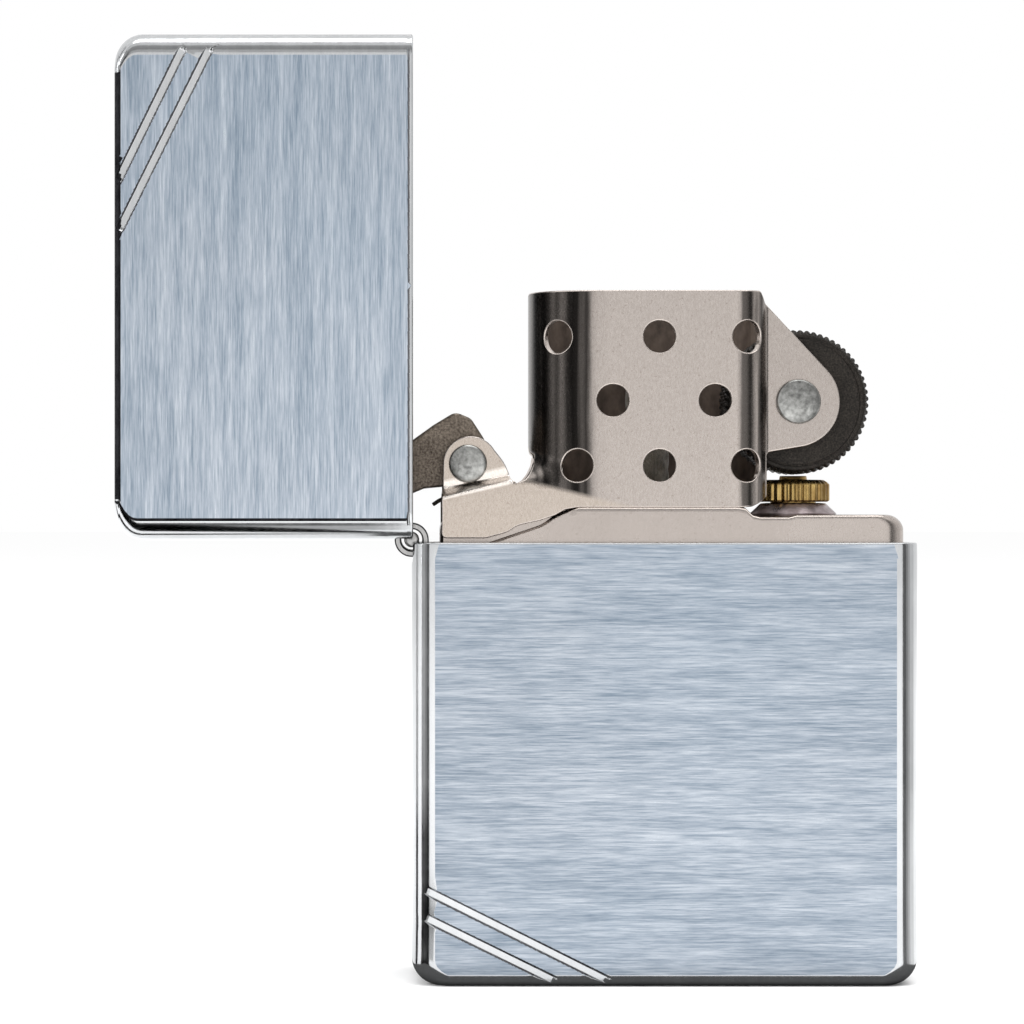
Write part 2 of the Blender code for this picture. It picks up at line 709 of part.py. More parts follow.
def tube_collar(brass, parent):
    """A knurled ring that caps the tube's top and leaves only the flint's bore open."""
    bore = TUBE_RADIUS + TUBE_CLEARANCE
    profile = [
        (bore, COLLAR_BOTTOM),
        (COLLAR_RADIUS, COLLAR_BOTTOM),
        (COLLAR_RADIUS, COLLAR_TOP - COLLAR_EDGE[1]),
        (COLLAR_RADIUS - COLLAR_EDGE[0], COLLAR_TOP),
        (TUBE_BORE, COLLAR_TOP),
        (TUBE_BORE, TUBE_TOP + TUBE_CLEARANCE),
        (bore, TUBE_TOP + TUBE_CLEARANCE),
    ]
    mesh = turned("tube_collar", profile, teeth=(COLLAR_TEETH, COLLAR_TOOTH_DEPTH))
    made = piece("tube_collar", mesh, brass, parent)
    made.location.x = FLINT_AXIS_X
    return made


def tube_washer(steel, parent):
    """A conical flange between the tank and the collar."""
    bore = TUBE_RADIUS + TUBE_CLEARANCE
    profile = [
        (bore, WASHER_BOTTOM),
        (WASHER_RADIUS, WASHER_BOTTOM),
        (WASHER_RADIUS, WASHER_BOTTOM + WASHER_EDGE),
        (COLLAR_RADIUS, COLLAR_BOTTOM - WASHER_GAP),
        (bore, COLLAR_BOTTOM - WASHER_GAP),
    ]
    made = piece("tube_washer", turned("tube_washer", profile), steel, parent)
    made.location.x = FLINT_AXIS_X
    return made


def flint(stone, flint_axis):
    """The flint, its top worn hollow to the wheel."""
    profile = ((FLINT_RADIUS, FLINT_BOTTOM), (FLINT_RADIUS, FLINT_TOP))
    made = piece("flint", turned_solid("flint", profile, steps=16), stone, flint_axis)
    worn = disc((WHEEL_AXIS.x - FLINT_AXIS_X, WHEEL_AXIS.z), WHEEL_RADIUS + FLINT_GAP, 64)
    change(made, prism("flint_wear", worn, -DEPTH, DEPTH, "Y"), "DIFFERENCE")
    return made


def flint_spring_tip(brass, flint_axis):
    stem, reach = TIP_STEM
    profile = (
        (stem, SPRING_TOP - reach),
        (stem, SPRING_TOP + TIP_SEAT),
        (TIP_RADIUS, SPRING_TOP + TIP_SEAT),
        (TIP_RADIUS, TIP_TOP - TIP_CONE[1]),
        (TIP_RADIUS - TIP_CONE[0], TIP_TOP),
    )
    mesh = turned_solid("flint_spring_tip", profile, steps=16)
    return piece("flint_spring_tip", mesh, brass, flint_axis)


def flint_spring(steel, parent):
    """A coil spring, as a curve through the points of its helix."""
    steps = 10 * SPRING_TURNS
    rise = SPRING_TOP - SPRING_BOTTOM - 2 * SPRING_WIRE
    coil = bpy.data.curves.new("flint_spring", "CURVE")
    coil.dimensions = "3D"
    coil.bevel_depth = SPRING_WIRE
    coil.bevel_resolution = 0
    coil.use_fill_caps = True
    spline = coil.splines.new("POLY")
    spline.points.add(steps)
    for i, point in enumerate(spline.points):
        angle = math.tau * SPRING_TURNS * i / steps
        height = SPRING_BOTTOM + SPRING_WIRE + rise * i / steps
        point.co = (SPRING_RADIUS * math.cos(angle), SPRING_RADIUS * math.sin(angle), height, 1)
    coil.materials.append(steel)
    made = bpy.data.objects.new("flint_spring", coil)
    bpy.context.scene.collection.objects.link(made)
    made.parent = parent
    made.location.x = FLINT_AXIS_X
    return made


def flint_screw(brass, screw_axis):
    shank = TUBE_BORE - TUBE_CLEARANCE
    profile = (
        (SCREW_HEAD_RADIUS - SCREW_EDGE, SCREW_BOTTOM),
        (SCREW_HEAD_RADIUS, SCREW_BOTTOM + SCREW_EDGE),
        (SCREW_HEAD_RADIUS, SCREW_HEAD_TOP),
        (shank, SCREW_HEAD_TOP),
        (shank, SCREW_TOP - SCREW_END),
        (shank - SCREW_END, SCREW_TOP),
    )
    made = piece("flint_screw", turned_solid("flint_screw", profile), brass, screw_axis)
    width, deep = SCREW_SLOT
    slot = [(x * DEPTH, y * width / 2) for x, y in ((-1, -1), (1, -1), (1, 1), (-1, 1))]
    change(made, prism("screw_slot", slot, 0, SCREW_BOTTOM + deep, "Z"), "DIFFERENCE")
    return made


# Wick and packing


def wick(cotton, parent):
    """A braided cord that stands up in the chimney, with a slightly frayed end."""
    (low_cut, low_rise), (high_cut, high_rise) = WICK_ENDS
    profile = (
        (WICK_RADIUS - low_cut, WICK_BOTTOM),
        (WICK_RADIUS, WICK_BOTTOM + low_rise),
        (WICK_RADIUS, WICK_TOP - high_rise),
        (WICK_RADIUS - high_cut, WICK_TOP),
    )
    made = piece("wick", turned_solid("wick", profile, steps=16), cotton, parent)
    made.location.x = WICK_X
    return made


def cotton_ball(name, centre, half, cotton, parent):
    """A wad squeezed to the space that it fills: a squarish ellipsoid."""
    rings, around, squareness = 8, 16, 0.55

    def pressed(value):
        return math.copysign(abs(value) ** squareness, value)

    levels = []
    for i in range(1, rings):
        height = math.pi * i / rings
        radius = pressed(math.sin(height))
        outline = []
        for j in range(around):
            angle = math.tau * j / around
            x, y = pressed(math.cos(angle)), pressed(math.sin(angle))
            outline.append((half[0] * radius * x, half[1] * radius * y))
        levels.append((-half[2] * pressed(math.cos(height)), outline))
    made = piece(name, loft(name, levels), cotton, parent)
    made.location = centre
    return made


def cotton_balls(cotton, parent):
    half_y = TANK_HALF_Y - TANK_WALL - PACKING_GAP
    low, high = FELT_TOP + PACKING_END, TANK_TOP - PACKING_HEADROOM
    beside_wick, beside_tube = WICK_RADIUS + PACKING_GAP, TUBE_RADIUS + PACKING_GAP
    left, wick_left = TANK_LEFT + TANK_WALL + PACKING_END, WICK_X - beside_wick
    wick_right, tube_left = WICK_X + beside_wick, FLINT_AXIS_X - beside_tube
    tube_right, right = FLINT_AXIS_X + beside_tube, TANK_RIGHT - TANK_WALL - PACKING_END
    third = (high - low) / 3
    spaces = [(left, wick_left, low + i * third, low + (i + 1) * third - PACKING_GAP) for i in range(3)]
    spaces += [(wick_right, tube_left, low, high), (tube_right, right, low, high)]
    for i, (x0, x1, z0, z1) in enumerate(spaces, 1):
        centre = ((x0 + x1) / 2, 0, (z0 + z1) / 2)
        half = ((x1 - x0) / 2, half_y, (z1 - z0) / 2)
        cotton_ball(f"cotton_ball_{i}", centre, half, cotton, parent)


def felt_pad(felt, parent):
    inset_by = TANK_WALL + PACKING_GAP
    left, right = TANK_LEFT + inset_by, TANK_RIGHT - inset_by
    outline = tank_outline(left, right, TANK_HALF_Y - inset_by, FELT_CORNER)
    made = piece("felt_pad", prism("felt_pad", outline, FELT_BOTTOM, FELT_TOP, "Z"), felt, parent)
    hole = disc((FLINT_AXIS_X, 0), FELT_HOLE)
    change(made, prism("felt_hole", hole, FELT_BOTTOM - OVERRUN, FELT_TOP + OVERRUN, "Z"), "DIFFERENCE")
    return made


def build():
    clear_scene()
    satin_chrome = finish("satin_chrome", (0.62, 0.66, 0.72), 0.32, 1)
    nickel = finish("nickel_sheet", (0.62, 0.58, 0.55), 0.3, 1)
    dark_steel = finish("dark_steel", (0.16, 0.15, 0.14), 0.5, 1)
    bright_steel = finish("bright_steel", (0.6, 0.6, 0.6), 0.3, 1)
    brass = finish("brass", (0.72, 0.52, 0.2), 0.3, 1)
    flint_stone = finish("flint_stone", (0.2, 0.18, 0.16), 0.7, 0.3)
    cotton = finish("cotton", (0.85, 0.83, 0.78), 0.95, 0)
    felt = finish("felt", (0.55, 0.54, 0.52), 0.95, 0)

    case_axis = axis_empty("case_hinge_axis", HINGE)
    case_shell(satin_chrome)
    hinge_leaf("case_hinge_leaf", CASE_KNUCKLES, False, bright_steel, case_axis)
    hinge_pin(bright_steel, case_axis)

    lid_axis = axis_empty("lid_hinge_axis", HINGE)
    lid_axis.rotation_euler.y = -LID_OPEN
    lid_shell(satin_chrome, lid_axis)
    hinge_leaf("lid_hinge_leaf", LID_KNUCKLES, True, bright_steel, lid_axis)

    insert = axis_empty("insert_origin", (0, 0, 0))
    insert_tank(nickel, insert)
    chimney(nickel, insert)
    cam_axis = axis_empty("cam_axis", CAM_AXIS, insert)
    cam(dark_steel, cam_axis)
    rivet("cam_rivet", CAM_RIVET_RADIUS, CAM_RIVET_HEAD, CAM_EAR_Y, bright_steel, cam_axis)
    cam_spring(dark_steel, insert)

    wheel_axis = axis_empty("wheel_axis", WHEEL_AXIS, insert)
    flint_wheel(dark_steel, wheel_axis)
    rivet("wheel_rivet", WHEEL_RIVET_RADIUS, WHEEL_RIVET_HEAD, WHEEL_EAR_Y, bright_steel, wheel_axis)

    flint_tube(brass, insert)
    tube_collar(brass, insert)
    tube_washer(bright_steel, insert)
    flint_axis = axis_empty("flint_axis", (FLINT_AXIS_X, 0, 0), insert)
    flint(flint_stone, flint_axis)
    flint_spring_tip(brass, flint_axis)
    flint_spring(bright_steel, insert)
    flint_screw(brass, flint_axis)

    wick(cotton, insert)
    cotton_balls(cotton, insert)
    felt_pad(felt, insert)


build()
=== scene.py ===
"""Looks of a flip-top windproof petrol lighter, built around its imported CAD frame.

Sizes are in millimetres in the tables and metres once they are points. +Z is up, +X points away from
the hinge and +Y to the back. Sheet metal is drawn in the flat and bent, as the real parts are.
"""

import math

import bpy
import numpy as np
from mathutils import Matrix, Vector
from mathutils.geometry import delaunay_2d_cdt


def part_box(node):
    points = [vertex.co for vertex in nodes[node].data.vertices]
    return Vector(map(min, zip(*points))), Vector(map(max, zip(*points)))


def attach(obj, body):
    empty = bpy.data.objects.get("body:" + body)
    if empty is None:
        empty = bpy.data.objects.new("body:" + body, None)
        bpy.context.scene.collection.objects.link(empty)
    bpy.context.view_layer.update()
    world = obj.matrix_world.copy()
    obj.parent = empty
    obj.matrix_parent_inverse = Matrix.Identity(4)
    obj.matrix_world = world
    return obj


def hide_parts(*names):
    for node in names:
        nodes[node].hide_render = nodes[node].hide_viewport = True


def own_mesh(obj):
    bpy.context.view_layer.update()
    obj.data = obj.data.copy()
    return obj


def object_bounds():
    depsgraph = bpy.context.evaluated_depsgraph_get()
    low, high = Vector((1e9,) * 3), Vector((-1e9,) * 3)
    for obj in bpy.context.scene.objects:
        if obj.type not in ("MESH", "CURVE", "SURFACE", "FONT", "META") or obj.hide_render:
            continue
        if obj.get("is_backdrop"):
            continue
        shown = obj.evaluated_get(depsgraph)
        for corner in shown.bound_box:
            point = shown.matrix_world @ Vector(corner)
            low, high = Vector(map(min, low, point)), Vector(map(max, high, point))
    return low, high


MM = 0.001

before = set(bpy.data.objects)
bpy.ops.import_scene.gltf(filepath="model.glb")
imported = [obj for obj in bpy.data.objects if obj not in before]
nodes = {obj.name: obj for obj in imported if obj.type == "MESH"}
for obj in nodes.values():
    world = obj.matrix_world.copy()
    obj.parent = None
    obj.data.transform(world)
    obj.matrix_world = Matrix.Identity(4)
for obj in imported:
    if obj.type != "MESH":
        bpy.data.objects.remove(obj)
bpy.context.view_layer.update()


# Meshes with exact normals


def placed(name, data):
    """A new object in the scene."""
    made = bpy.data.objects.new(name, data)
    bpy.context.scene.collection.objects.link(made)
    return made


def tube_faces(rings, around):
    """Quads between closed rings of points."""
    found = []
    for i in range(0, (rings - 1) * around, around):
        for j in range(around):
            k = (j + 1) % around
            found.append((i + j, i + k, i + around + k, i + around + j))
    return found


class Shape:
    """Faces with a normal at each corner and a material slot each, gathered into one mesh."""

    def __init__(self):
        self.points, self.normals, self.faces, self.slots = [], [], [], []

    def add(self, points, normals, faces, slot=0):
        start = sum(len(p) for p in self.points)
        self.points.append(np.asarray(points, float))
        self.normals.append(np.asarray(normals, float))
        self.faces += [tuple(start + i for i in face) for face in faces]
        self.slots += list(slot) if np.iterable(slot) else [slot] * len(faces)

    def build(self, name, materials, move=None):
        points = np.concatenate(self.points)
        normals = np.concatenate(self.normals)
        if move is not None:
            points, normals = move(points), move(normals, False)
        key = np.round(points / (0.001 * MM) + 0.137).astype(np.int64)
        _, first, index = np.unique(key, axis=0, return_index=True, return_inverse=True)
        index = index.reshape(-1)
        faces, corners, slots = [], [], []
        for face, slot in zip(self.faces, self.slots):
            kept = [i for n, i in enumerate(face) if index[i] != index[face[n - 1]]]
            if len(kept) > 2:
                faces.append([int(index[i]) for i in kept])
                corners += [normals[i] for i in kept]
                slots.append(slot)
        mesh = bpy.data.meshes.new(name)
        mesh.from_pydata(points[first] * MM, [], faces)
        for material in materials:
            mesh.materials.append(material)
        mesh.polygons.foreach_set("material_index", slots)
        mesh.shade_smooth()
        corners = np.array(corners)
        corners /= np.maximum(np.linalg.norm(corners, axis=1, keepdims=True), 1e-9)
        mesh.normals_split_custom_set(corners)
        return placed(name, mesh)


def smooth(value):
    value = np.clip(value, 0, 1)
    return value * value * (3 - 2 * value)


def divided(a, b, step):
    """Points from a up to b, but without b."""
    count = max(1, math.ceil(math.dist(a, b) / step))
    return [(a[0] + (b[0] - a[0]) * i / count, a[1] + (b[1] - a[1]) * i / count) for i in range(count)]


def spaced(loop, step):
    """A closed loop of points with more points on its long sides."""
    return [point for a, b in zip(loop, loop[1:] + loop[:1]) for point in divided(a, b, step)]


def arc(centre, radius, start, end, steps):
    angles = [math.radians(start + (end - start) * i / steps) for i in range(steps + 1)]
    return [(centre[0] + radius * math.cos(a), centre[1] + radius * math.sin(a)) for a in angles]


def eased(corners, steps=5):
    """A loop of (x, y, radius) with each corner rounded to its radius."""
    found = []
    for i, (x, y, radius) in enumerate(corners):
        here = np.array((x, y))
        before = np.array(corners[i - 1][:2]) - here
        after = np.array(corners[(i + 1) % len(corners)][:2]) - here
        reach_before, reach_after = np.linalg.norm(before), np.linalg.norm(after)
        before, after = before / reach_before, after / reach_after
        turn = math.acos(np.clip(before @ after, -1, 1))
        if radius <= 0 or turn > 3.1:
            found.append((x, y))
            continue
        back = min(radius / math.tan(turn / 2), 0.49 * reach_before, 0.49 * reach_after)
        a, b = here + before * back, here + after * back
        for j in range(steps + 1):
            t = j / steps
            found.append(tuple((1 - t) ** 2 * a + 2 * t * (1 - t) * here + t * t * b))
    return found


def inside(points, loop):
    """Which points lie inside a closed loop."""
    x, y = points[:, 0:1], points[:, 1:2]
    a = np.array(loop)
    b = np.roll(a, -1, axis=0)
    straddles = (a[:, 1] > y) != (b[:, 1] > y)
    rise = np.where(a[:, 1] == b[:, 1], 1, b[:, 1] - a[:, 1])
    crossing = a[:, 0] + (y - a[:, 1]) * (b[:, 0] - a[:, 0]) / rise
    return (straddles & (x < crossing)).sum(axis=1) % 2 == 1


def distance_to(points, loop):
    """How far each point is from a polyline."""
    a, b = np.array(loop[:-1]), np.array(loop[1:])
    run = b - a
    length = np.maximum((run**2).sum(axis=1), 1e-12)
    least = np.full(len(points), 1e9)
    for start, way, square in zip(a, run, length):
        t = np.clip(((points - start) @ way) / square, 0, 1)
        least = np.minimum(least, np.linalg.norm(points - start - t[:, None] * way, axis=1))
    return least


def normals_of(place, flat, step=0.004):
    """Unit normals of a bent sheet by differences, on the side that a right-handed u, v grid faces."""
    du, dv = np.array((step, 0)), np.array((0, step))
    along_u = place(flat + du) - place(flat - du)
    along_v = place(flat + dv) - place(flat - dv)
    found = np.cross(along_u, along_v)
    return found / np.maximum(np.linalg.norm(found, axis=1, keepdims=True), 1e-12)


def sheet(shape, outline, holes, place, thickness, edge=0.07, spacing=0.5, seam=None, lines=(), grid=None,
          slot_of=None, inner_slot=0, edge_slot=0, inner_place=None, flip=False, corner_slot=None):
    """A bent sheet with rounded edges. The outline and the holes are loops in the flat, anticlockwise,
    and place() bends flat points to the sheet's outer face. Where seam(a, b) says that a side of the
    outline is a seam, that side gets no edge. Lines are polylines that the triangles follow."""
    full, inset, open_sides = [], [], []
    for n, loop in enumerate([outline, *holes]):
        points = np.array(loop)
        if n:
            points = points[::-1]
        before = points - np.roll(points, 1, axis=0)
        after = np.roll(points, -1, axis=0) - points
        before /= np.linalg.norm(before, axis=1, keepdims=True)
        after /= np.linalg.norm(after, axis=1, keepdims=True)
        out_before = np.stack((before[:, 1], -before[:, 0]), axis=1)
        out_after = np.stack((after[:, 1], -after[:, 0]), axis=1)
        following = np.roll(points, -1, axis=0)
        sides = [bool(seam and not n and seam(a, b)) for a, b in zip(points, following)]
        moved = points.copy()
        for i in range(len(points)):
            closed_before, closed_after = sides[i - 1], sides[i]
            if closed_before and closed_after:
                continue
            if closed_before:
                way = before[i] / max(before[i] @ out_after[i], 0.2)
            elif closed_after:
                way = -after[i] / max(-after[i] @ out_before[i], 0.2)
            else:
                way = (out_before[i] + out_after[i]) / max(1 + out_before[i] @ out_after[i], 0.5)
            moved[i] = points[i] - edge * way
        full.append(points)
        inset.append(moved)
        open_sides.append(sides)
    rims = np.concatenate(inset)
    inner = grid if grid is not None else np.stack(np.meshgrid(
        np.arange(rims[:, 0].min(), rims[:, 0].max(), spacing),
        np.arange(rims[:, 1].min(), rims[:, 1].max(), spacing)), axis=-1).reshape(-1, 2)
    keep = inside(inner, inset[0])
    for loop in inset[1:]:
        keep &= ~inside(inner, loop)
    for loop in inset:
        closed_loop = np.concatenate((loop, loop[:1]))
        keep &= distance_to(inner, closed_loop) > 0.12
    for line in lines:
        keep &= distance_to(inner, line) > 0.05
    coordinates = [rims, inner[keep]]
    links, start = [], 0
    for loop in inset:
        count = len(loop)
        links += [(start + i, start + (i + 1) % count) for i in range(count)]
        start += count
    start = len(rims) + int(keep.sum())
    for line in lines:
        coordinates.append(np.array(line))
        links += [(start + i, start + i + 1) for i in range(len(line) - 1)]
        start += len(line)
    flat = np.concatenate(coordinates)
    made = delaunay_2d_cdt([Vector(p) for p in flat], links, [], 0, 1e-7)
    cut = np.array([flat[origin[0]] if origin else tuple(point) for point, origin in zip(made[0], made[3])])
    triangles = np.array([face for face in made[2]])
    middles = cut[triangles].mean(axis=1)
    keep = inside(middles, inset[0])
    for loop in inset[1:]:
        keep &= ~inside(middles, loop)
    triangles, middles = triangles[keep], middles[keep]
    a, b, c = (cut[triangles[:, k]] for k in range(3))
    area = (b[:, 0] - a[:, 0]) * (c[:, 1] - a[:, 1]) - (b[:, 1] - a[:, 1]) * (c[:, 0] - a[:, 0])
    triangles[area < 0] = triangles[area < 0][:, ::-1]
    triangles, middles = triangles[np.abs(area) > 1e-9], middles[np.abs(area) > 1e-9]
    sign = -1 if flip else 1
    inner_place = inner_place or place

    def turned_faces(faces):
        return [tuple(face[::-1]) for face in faces] if flip else [tuple(face) for face in faces]

    outer_slots = slot_of(middles) if slot_of else 0
    outer_normals, inner_normals = sign * normals_of(place, cut), sign * normals_of(inner_place, cut)
    shape.add(place(cut), outer_normals, turned_faces(triangles), outer_slots)
    back = inner_place(cut) - thickness * inner_normals
    shape.add(back, -inner_normals, turned_faces(triangles[:, ::-1]), inner_slot)
    turns = [math.radians(a) for a in (0, 30, 60, 90)]
    for loop, moved, sides in zip(full, inset, open_sides):
        rows, row_normals = [], []
        for surface, inward in ((place, False), (inner_place, True)):
            across = surface(loop) - surface(moved)
            across /= np.maximum(np.linalg.norm(across, axis=1, keepdims=True), 1e-12)
            for turn in reversed(turns) if inward else turns:
                there = moved + (loop - moved) * math.sin(turn)
                normal = sign * normals_of(surface, there)
                depth = edge * (1 - math.cos(turn))
                depth = thickness - depth if inward else depth
                rows.append(surface(there) - depth * normal)
                facing = -normal if inward else normal
                row_normals.append(facing * math.cos(turn) + across * math.sin(turn))
        count = len(loop)
        faces, slots = [], []
        for k in range(len(rows) - 1):
            for i in range(count):
                if not sides[i]:
                    j = (i + 1) % count
                    faces.append((k * count + i, (k + 1) * count + i, (k + 1) * count + j, k * count + j))
                    if corner_slot is not None and k != 3:
                        slots.append(corner_slot)
                    else:
                        slots.append(edge_slot if k < 4 else inner_slot)
        shape.add(np.concatenate(rows), np.concatenate(row_normals), turned_faces(faces), slots)


def mirrored(profile):
    """Points (a, b, rounding) mirrored in b, in reverse order."""
    return [(a, -b, rounding) for a, b, rounding in reversed(profile)]


def lathe(shape, profile, axis="Z", centre=(0, 0, 0), steps=64, radius_at=None, slot=0):
    """A solid of revolution. The profile is a line of (radius, height, rounding) that runs up the outside,
    and radius_at(angles, radius, height) may vary the radius round it."""
    line = []
    for i, (radius, height, rounding) in enumerate(profile):
        here = np.array((radius, height), float)
        if rounding <= 0 or i in (0, len(profile) - 1):
            line.append(here)
            continue
        before = np.array(profile[i - 1][:2], float) - here
        after = np.array(profile[i + 1][:2], float) - here
        back = min(rounding, 0.45 * np.linalg.norm(before), 0.45 * np.linalg.norm(after))
        a = here + before / np.linalg.norm(before) * back
        b = here + after / np.linalg.norm(after) * back
        line += [(1 - t) ** 2 * a + 2 * t * (1 - t) * here + t * t * b for t in (0, 0.25, 0.5, 0.75, 1)]
    points = np.array(line)
    angles = np.linspace(0, math.tau, steps, endpoint=False)
    runs = np.diff(points, axis=0)
    runs /= np.linalg.norm(runs, axis=1, keepdims=True)
    side = np.stack((runs[:, 1], -runs[:, 0]), axis=1)
    reaches = [radius_at(angles, r, h) if radius_at else np.full(steps, r) for r, h in points]
    for k in range(len(runs)):
        rows, row_normals = [], []
        for end in (k, k + 1):
            other = end - 1 if end == k else end
            normal = side[k]
            if 0 <= other < len(side) and side[k] @ side[other] > math.cos(math.radians(40)):
                normal = side[k] + side[other]
            normal = normal / np.linalg.norm(normal)
            reach = reaches[end]
            around = np.gradient(np.concatenate((reach[-1:], reach, reach[:1])))[1:-1] / (math.tau / steps)
            slope = -around / np.maximum(reach, 1e-6) * normal[0]
            lean = normal[1]
            if radius_at and normal[0] > 0.9:
                low, high = max(end - 1, 0), min(end + 1, len(points) - 1)
                lean = -(reaches[high] - reaches[low]) / max(points[high, 1] - points[low, 1], 1e-6)
            a = normal[0] * np.cos(angles) - slope * np.sin(angles)
            b = normal[0] * np.sin(angles) + slope * np.cos(angles)
            level = np.full(steps, points[end, 1])
            rows.append(np.stack((reach * np.cos(angles), reach * np.sin(angles), level), axis=1))
            row_normals.append(np.stack((a, b, np.broadcast_to(lean, (steps,))), axis=1))
        spots, normals = np.concatenate(rows), np.concatenate(row_normals)
        faces = tube_faces(2, steps)
        if axis == "Y":
            spots, normals = spots[:, [0, 2, 1]], normals[:, [0, 2, 1]]
            faces = [face[::-1] for face in faces]
        shape.add(spots + np.array(centre), normals, faces, slot)


def fit(piece, body, slot, stands_for):
    """Fixes a piece to a CAD body, in the place of a CAD node."""
    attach(piece, body)
    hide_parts(stands_for)


def turned(name, metal, profile, centre, steps, seat, axis="Z", radius_at=None, move=None):
    """A solid of revolution of one material. Its seat is the body, slot and CAD node that it belongs to; the
    slot is not used.
    """
    shape = Shape()
    lathe(shape, profile, axis, centre, steps, radius_at)
    fit(shape.build(name, [metal], move), *seat)


def cut_from_sheet(name, metal, loop, holes, place, thickness, edge, spacing, seat):
    """One bent sheet of one material, with its seat."""
    shape = Shape()
    sheet(shape, loop, holes, place, thickness, edge, spacing)
    piece = shape.build(name, [metal])
    fit(piece, *seat)
    return piece


# Materials


def material(name, metallic=1.0, **sockets):
    """A Principled material, with its sockets set by name."""
    made = bpy.data.materials.new(name)
    made.use_nodes = True
    shader = made.node_tree.nodes["Principled BSDF"]
    shader.inputs["Metallic"].default_value = metallic
    for socket, value in sockets.items():
        shader.inputs[socket.replace("_", " ")].default_value = value
    return made


def node(made, kind, inputs=(), **settings):
    found = made.node_tree.nodes.new(kind)
    for key, value in settings.items():
        setattr(found, key, value)
    for socket, value in dict(inputs).items():
        if isinstance(value, bpy.types.NodeSocket):
            made.node_tree.links.new(value, found.inputs[socket])
        else:
            found.inputs[socket].default_value = value
    return found


def stretched(made, scale, offset=(0, 0, 0)):
    """Object coordinates stretched by a scale on each axis."""
    here = node(made, "ShaderNodeTexCoord").outputs["Object"]
    inputs = {"Vector": here, "Scale": scale, "Location": offset}
    return node(made, "ShaderNodeMapping", inputs).outputs["Vector"]


def noise(made, scale, detail=3.0, roughness=0.55, offset=(0, 0, 0)):
    where = stretched(made, scale, offset)
    inputs = {"Vector": where, "Scale": 1.0, "Detail": detail, "Roughness": roughness}
    return node(made, "ShaderNodeTexNoise", inputs).outputs["Fac"]


def ramp(made, value, stops):
    found = node(made, "ShaderNodeValToRGB", {"Fac": value})
    elements = found.color_ramp.elements
    elements[1].position, elements[1].color = stops[-1][0], (*stops[-1][1], 1)
    elements[0].position, elements[0].color = stops[0][0], (*stops[0][1], 1)
    for place, colour in stops[1:-1]:
        elements.new(place).color = (*colour, 1)
    return found.outputs["Color"]


def blended(made, kind, factor, a, b):
    found = node(made, "ShaderNodeMix", {0: factor, 6: a, 7: b}, data_type="RGBA", blend_type=kind)
    return found.outputs[2]


def ranged(made, value, low, high, start=0.0, end=1.0):
    inputs = {"Value": value, "From Min": start, "From Max": end, "To Min": low, "To Max": high}
    return node(made, "ShaderNodeMapRange", inputs).outputs["Result"]


def shader_of(made):
    return made.node_tree.nodes["Principled BSDF"].inputs


def connect(made, source, socket):
    made.node_tree.links.new(source, shader_of(made)[socket])


def bump(made, height, strength, distance):
    inputs = {"Height": height, "Strength": strength, "Distance": distance}
    connect(made, node(made, "ShaderNodeBump", inputs).outputs["Normal"], "Normal")


def combined(made, a, b, kind="ADD"):
    return node(made, "ShaderNodeMath", {0: a, 1: b}, operation=kind).outputs["Value"]


def mixed(made, fine, broad, share, low=0.3, high=0.7):
    """Two noises added up, with the fine one's share of the sum."""
    rest = round(1 - share, 2)
    return combined(made, ranged(made, fine, 0, share, low, high), ranged(made, broad, 0, rest, low, high))


def surfaced(made, colour, worn, rough, bumps, span=(0, 1)):
    """Gives a material its colour, a roughness that follows its wear, and bumps (height, strength, depth)."""
    connect(made, colour, "Base Color")
    connect(made, ranged(made, worn, *rough, *span), "Roughness")
    bump(made, *bumps)
    return made


def axes(made, scale):
    """The object coordinates one by one, stretched by a scale."""
    return node(made, "ShaderNodeSeparateXYZ", {"Vector": stretched(made, scale)}).outputs


def brushed(name, along, tone):
    """Satin plating with fine brush lines that run along one axis, and broken into short strokes."""
    def scales(fine, long):
        return tuple(long if axis == along else fine for axis in "XYZ")

    made = material(name)
    fine = noise(made, scales(9000, 420), 4, 0.65)
    broad = noise(made, scales(1500, 90), 3, 0.6, (3, 1, 2))
    cloud = noise(made, (45, 45, 45), 2, 0.5, (7, 5, 1))
    strokes = mixed(made, fine, broad, 0.65, 0.33, 0.67)
    stops = [(0.0, (0.3, 0.38, 0.46)), (0.5, (0.53, 0.6, 0.68)), (1.0, (0.8, 0.86, 0.92))]
    colour = ramp(made, strokes, [(at, tuple(tone * v for v in shade)) for at, shade in stops])
    tint = ramp(made, cloud, [(0.3, (0.93, 0.95, 0.98)), (0.7, (1.0, 0.99, 1.0))])
    colour = blended(made, "MULTIPLY", 1.0, colour, tint)
    return surfaced(made, colour, strokes, (0.4, 0.27), (strokes, 0.35, 0.000012))


def polished():
    """Bright plating of the rolled edges, with hairline scratches and a little wear."""
    made = material("polished_chrome")
    scratches = noise(made, (2500, 2500, 300), 4, 0.7)
    haze = noise(made, (300, 300, 300), 3, 0.6)
    worn = combined(made, scratches, haze, "MULTIPLY")
    colour = ramp(made, worn, [(0.1, (0.52, 0.53, 0.54)), (0.5, (0.64, 0.65, 0.66))])
    return surfaced(made, colour, worn, (0.1, 0.2), (scratches, 0.08, 0.000006), (0.1, 0.5))


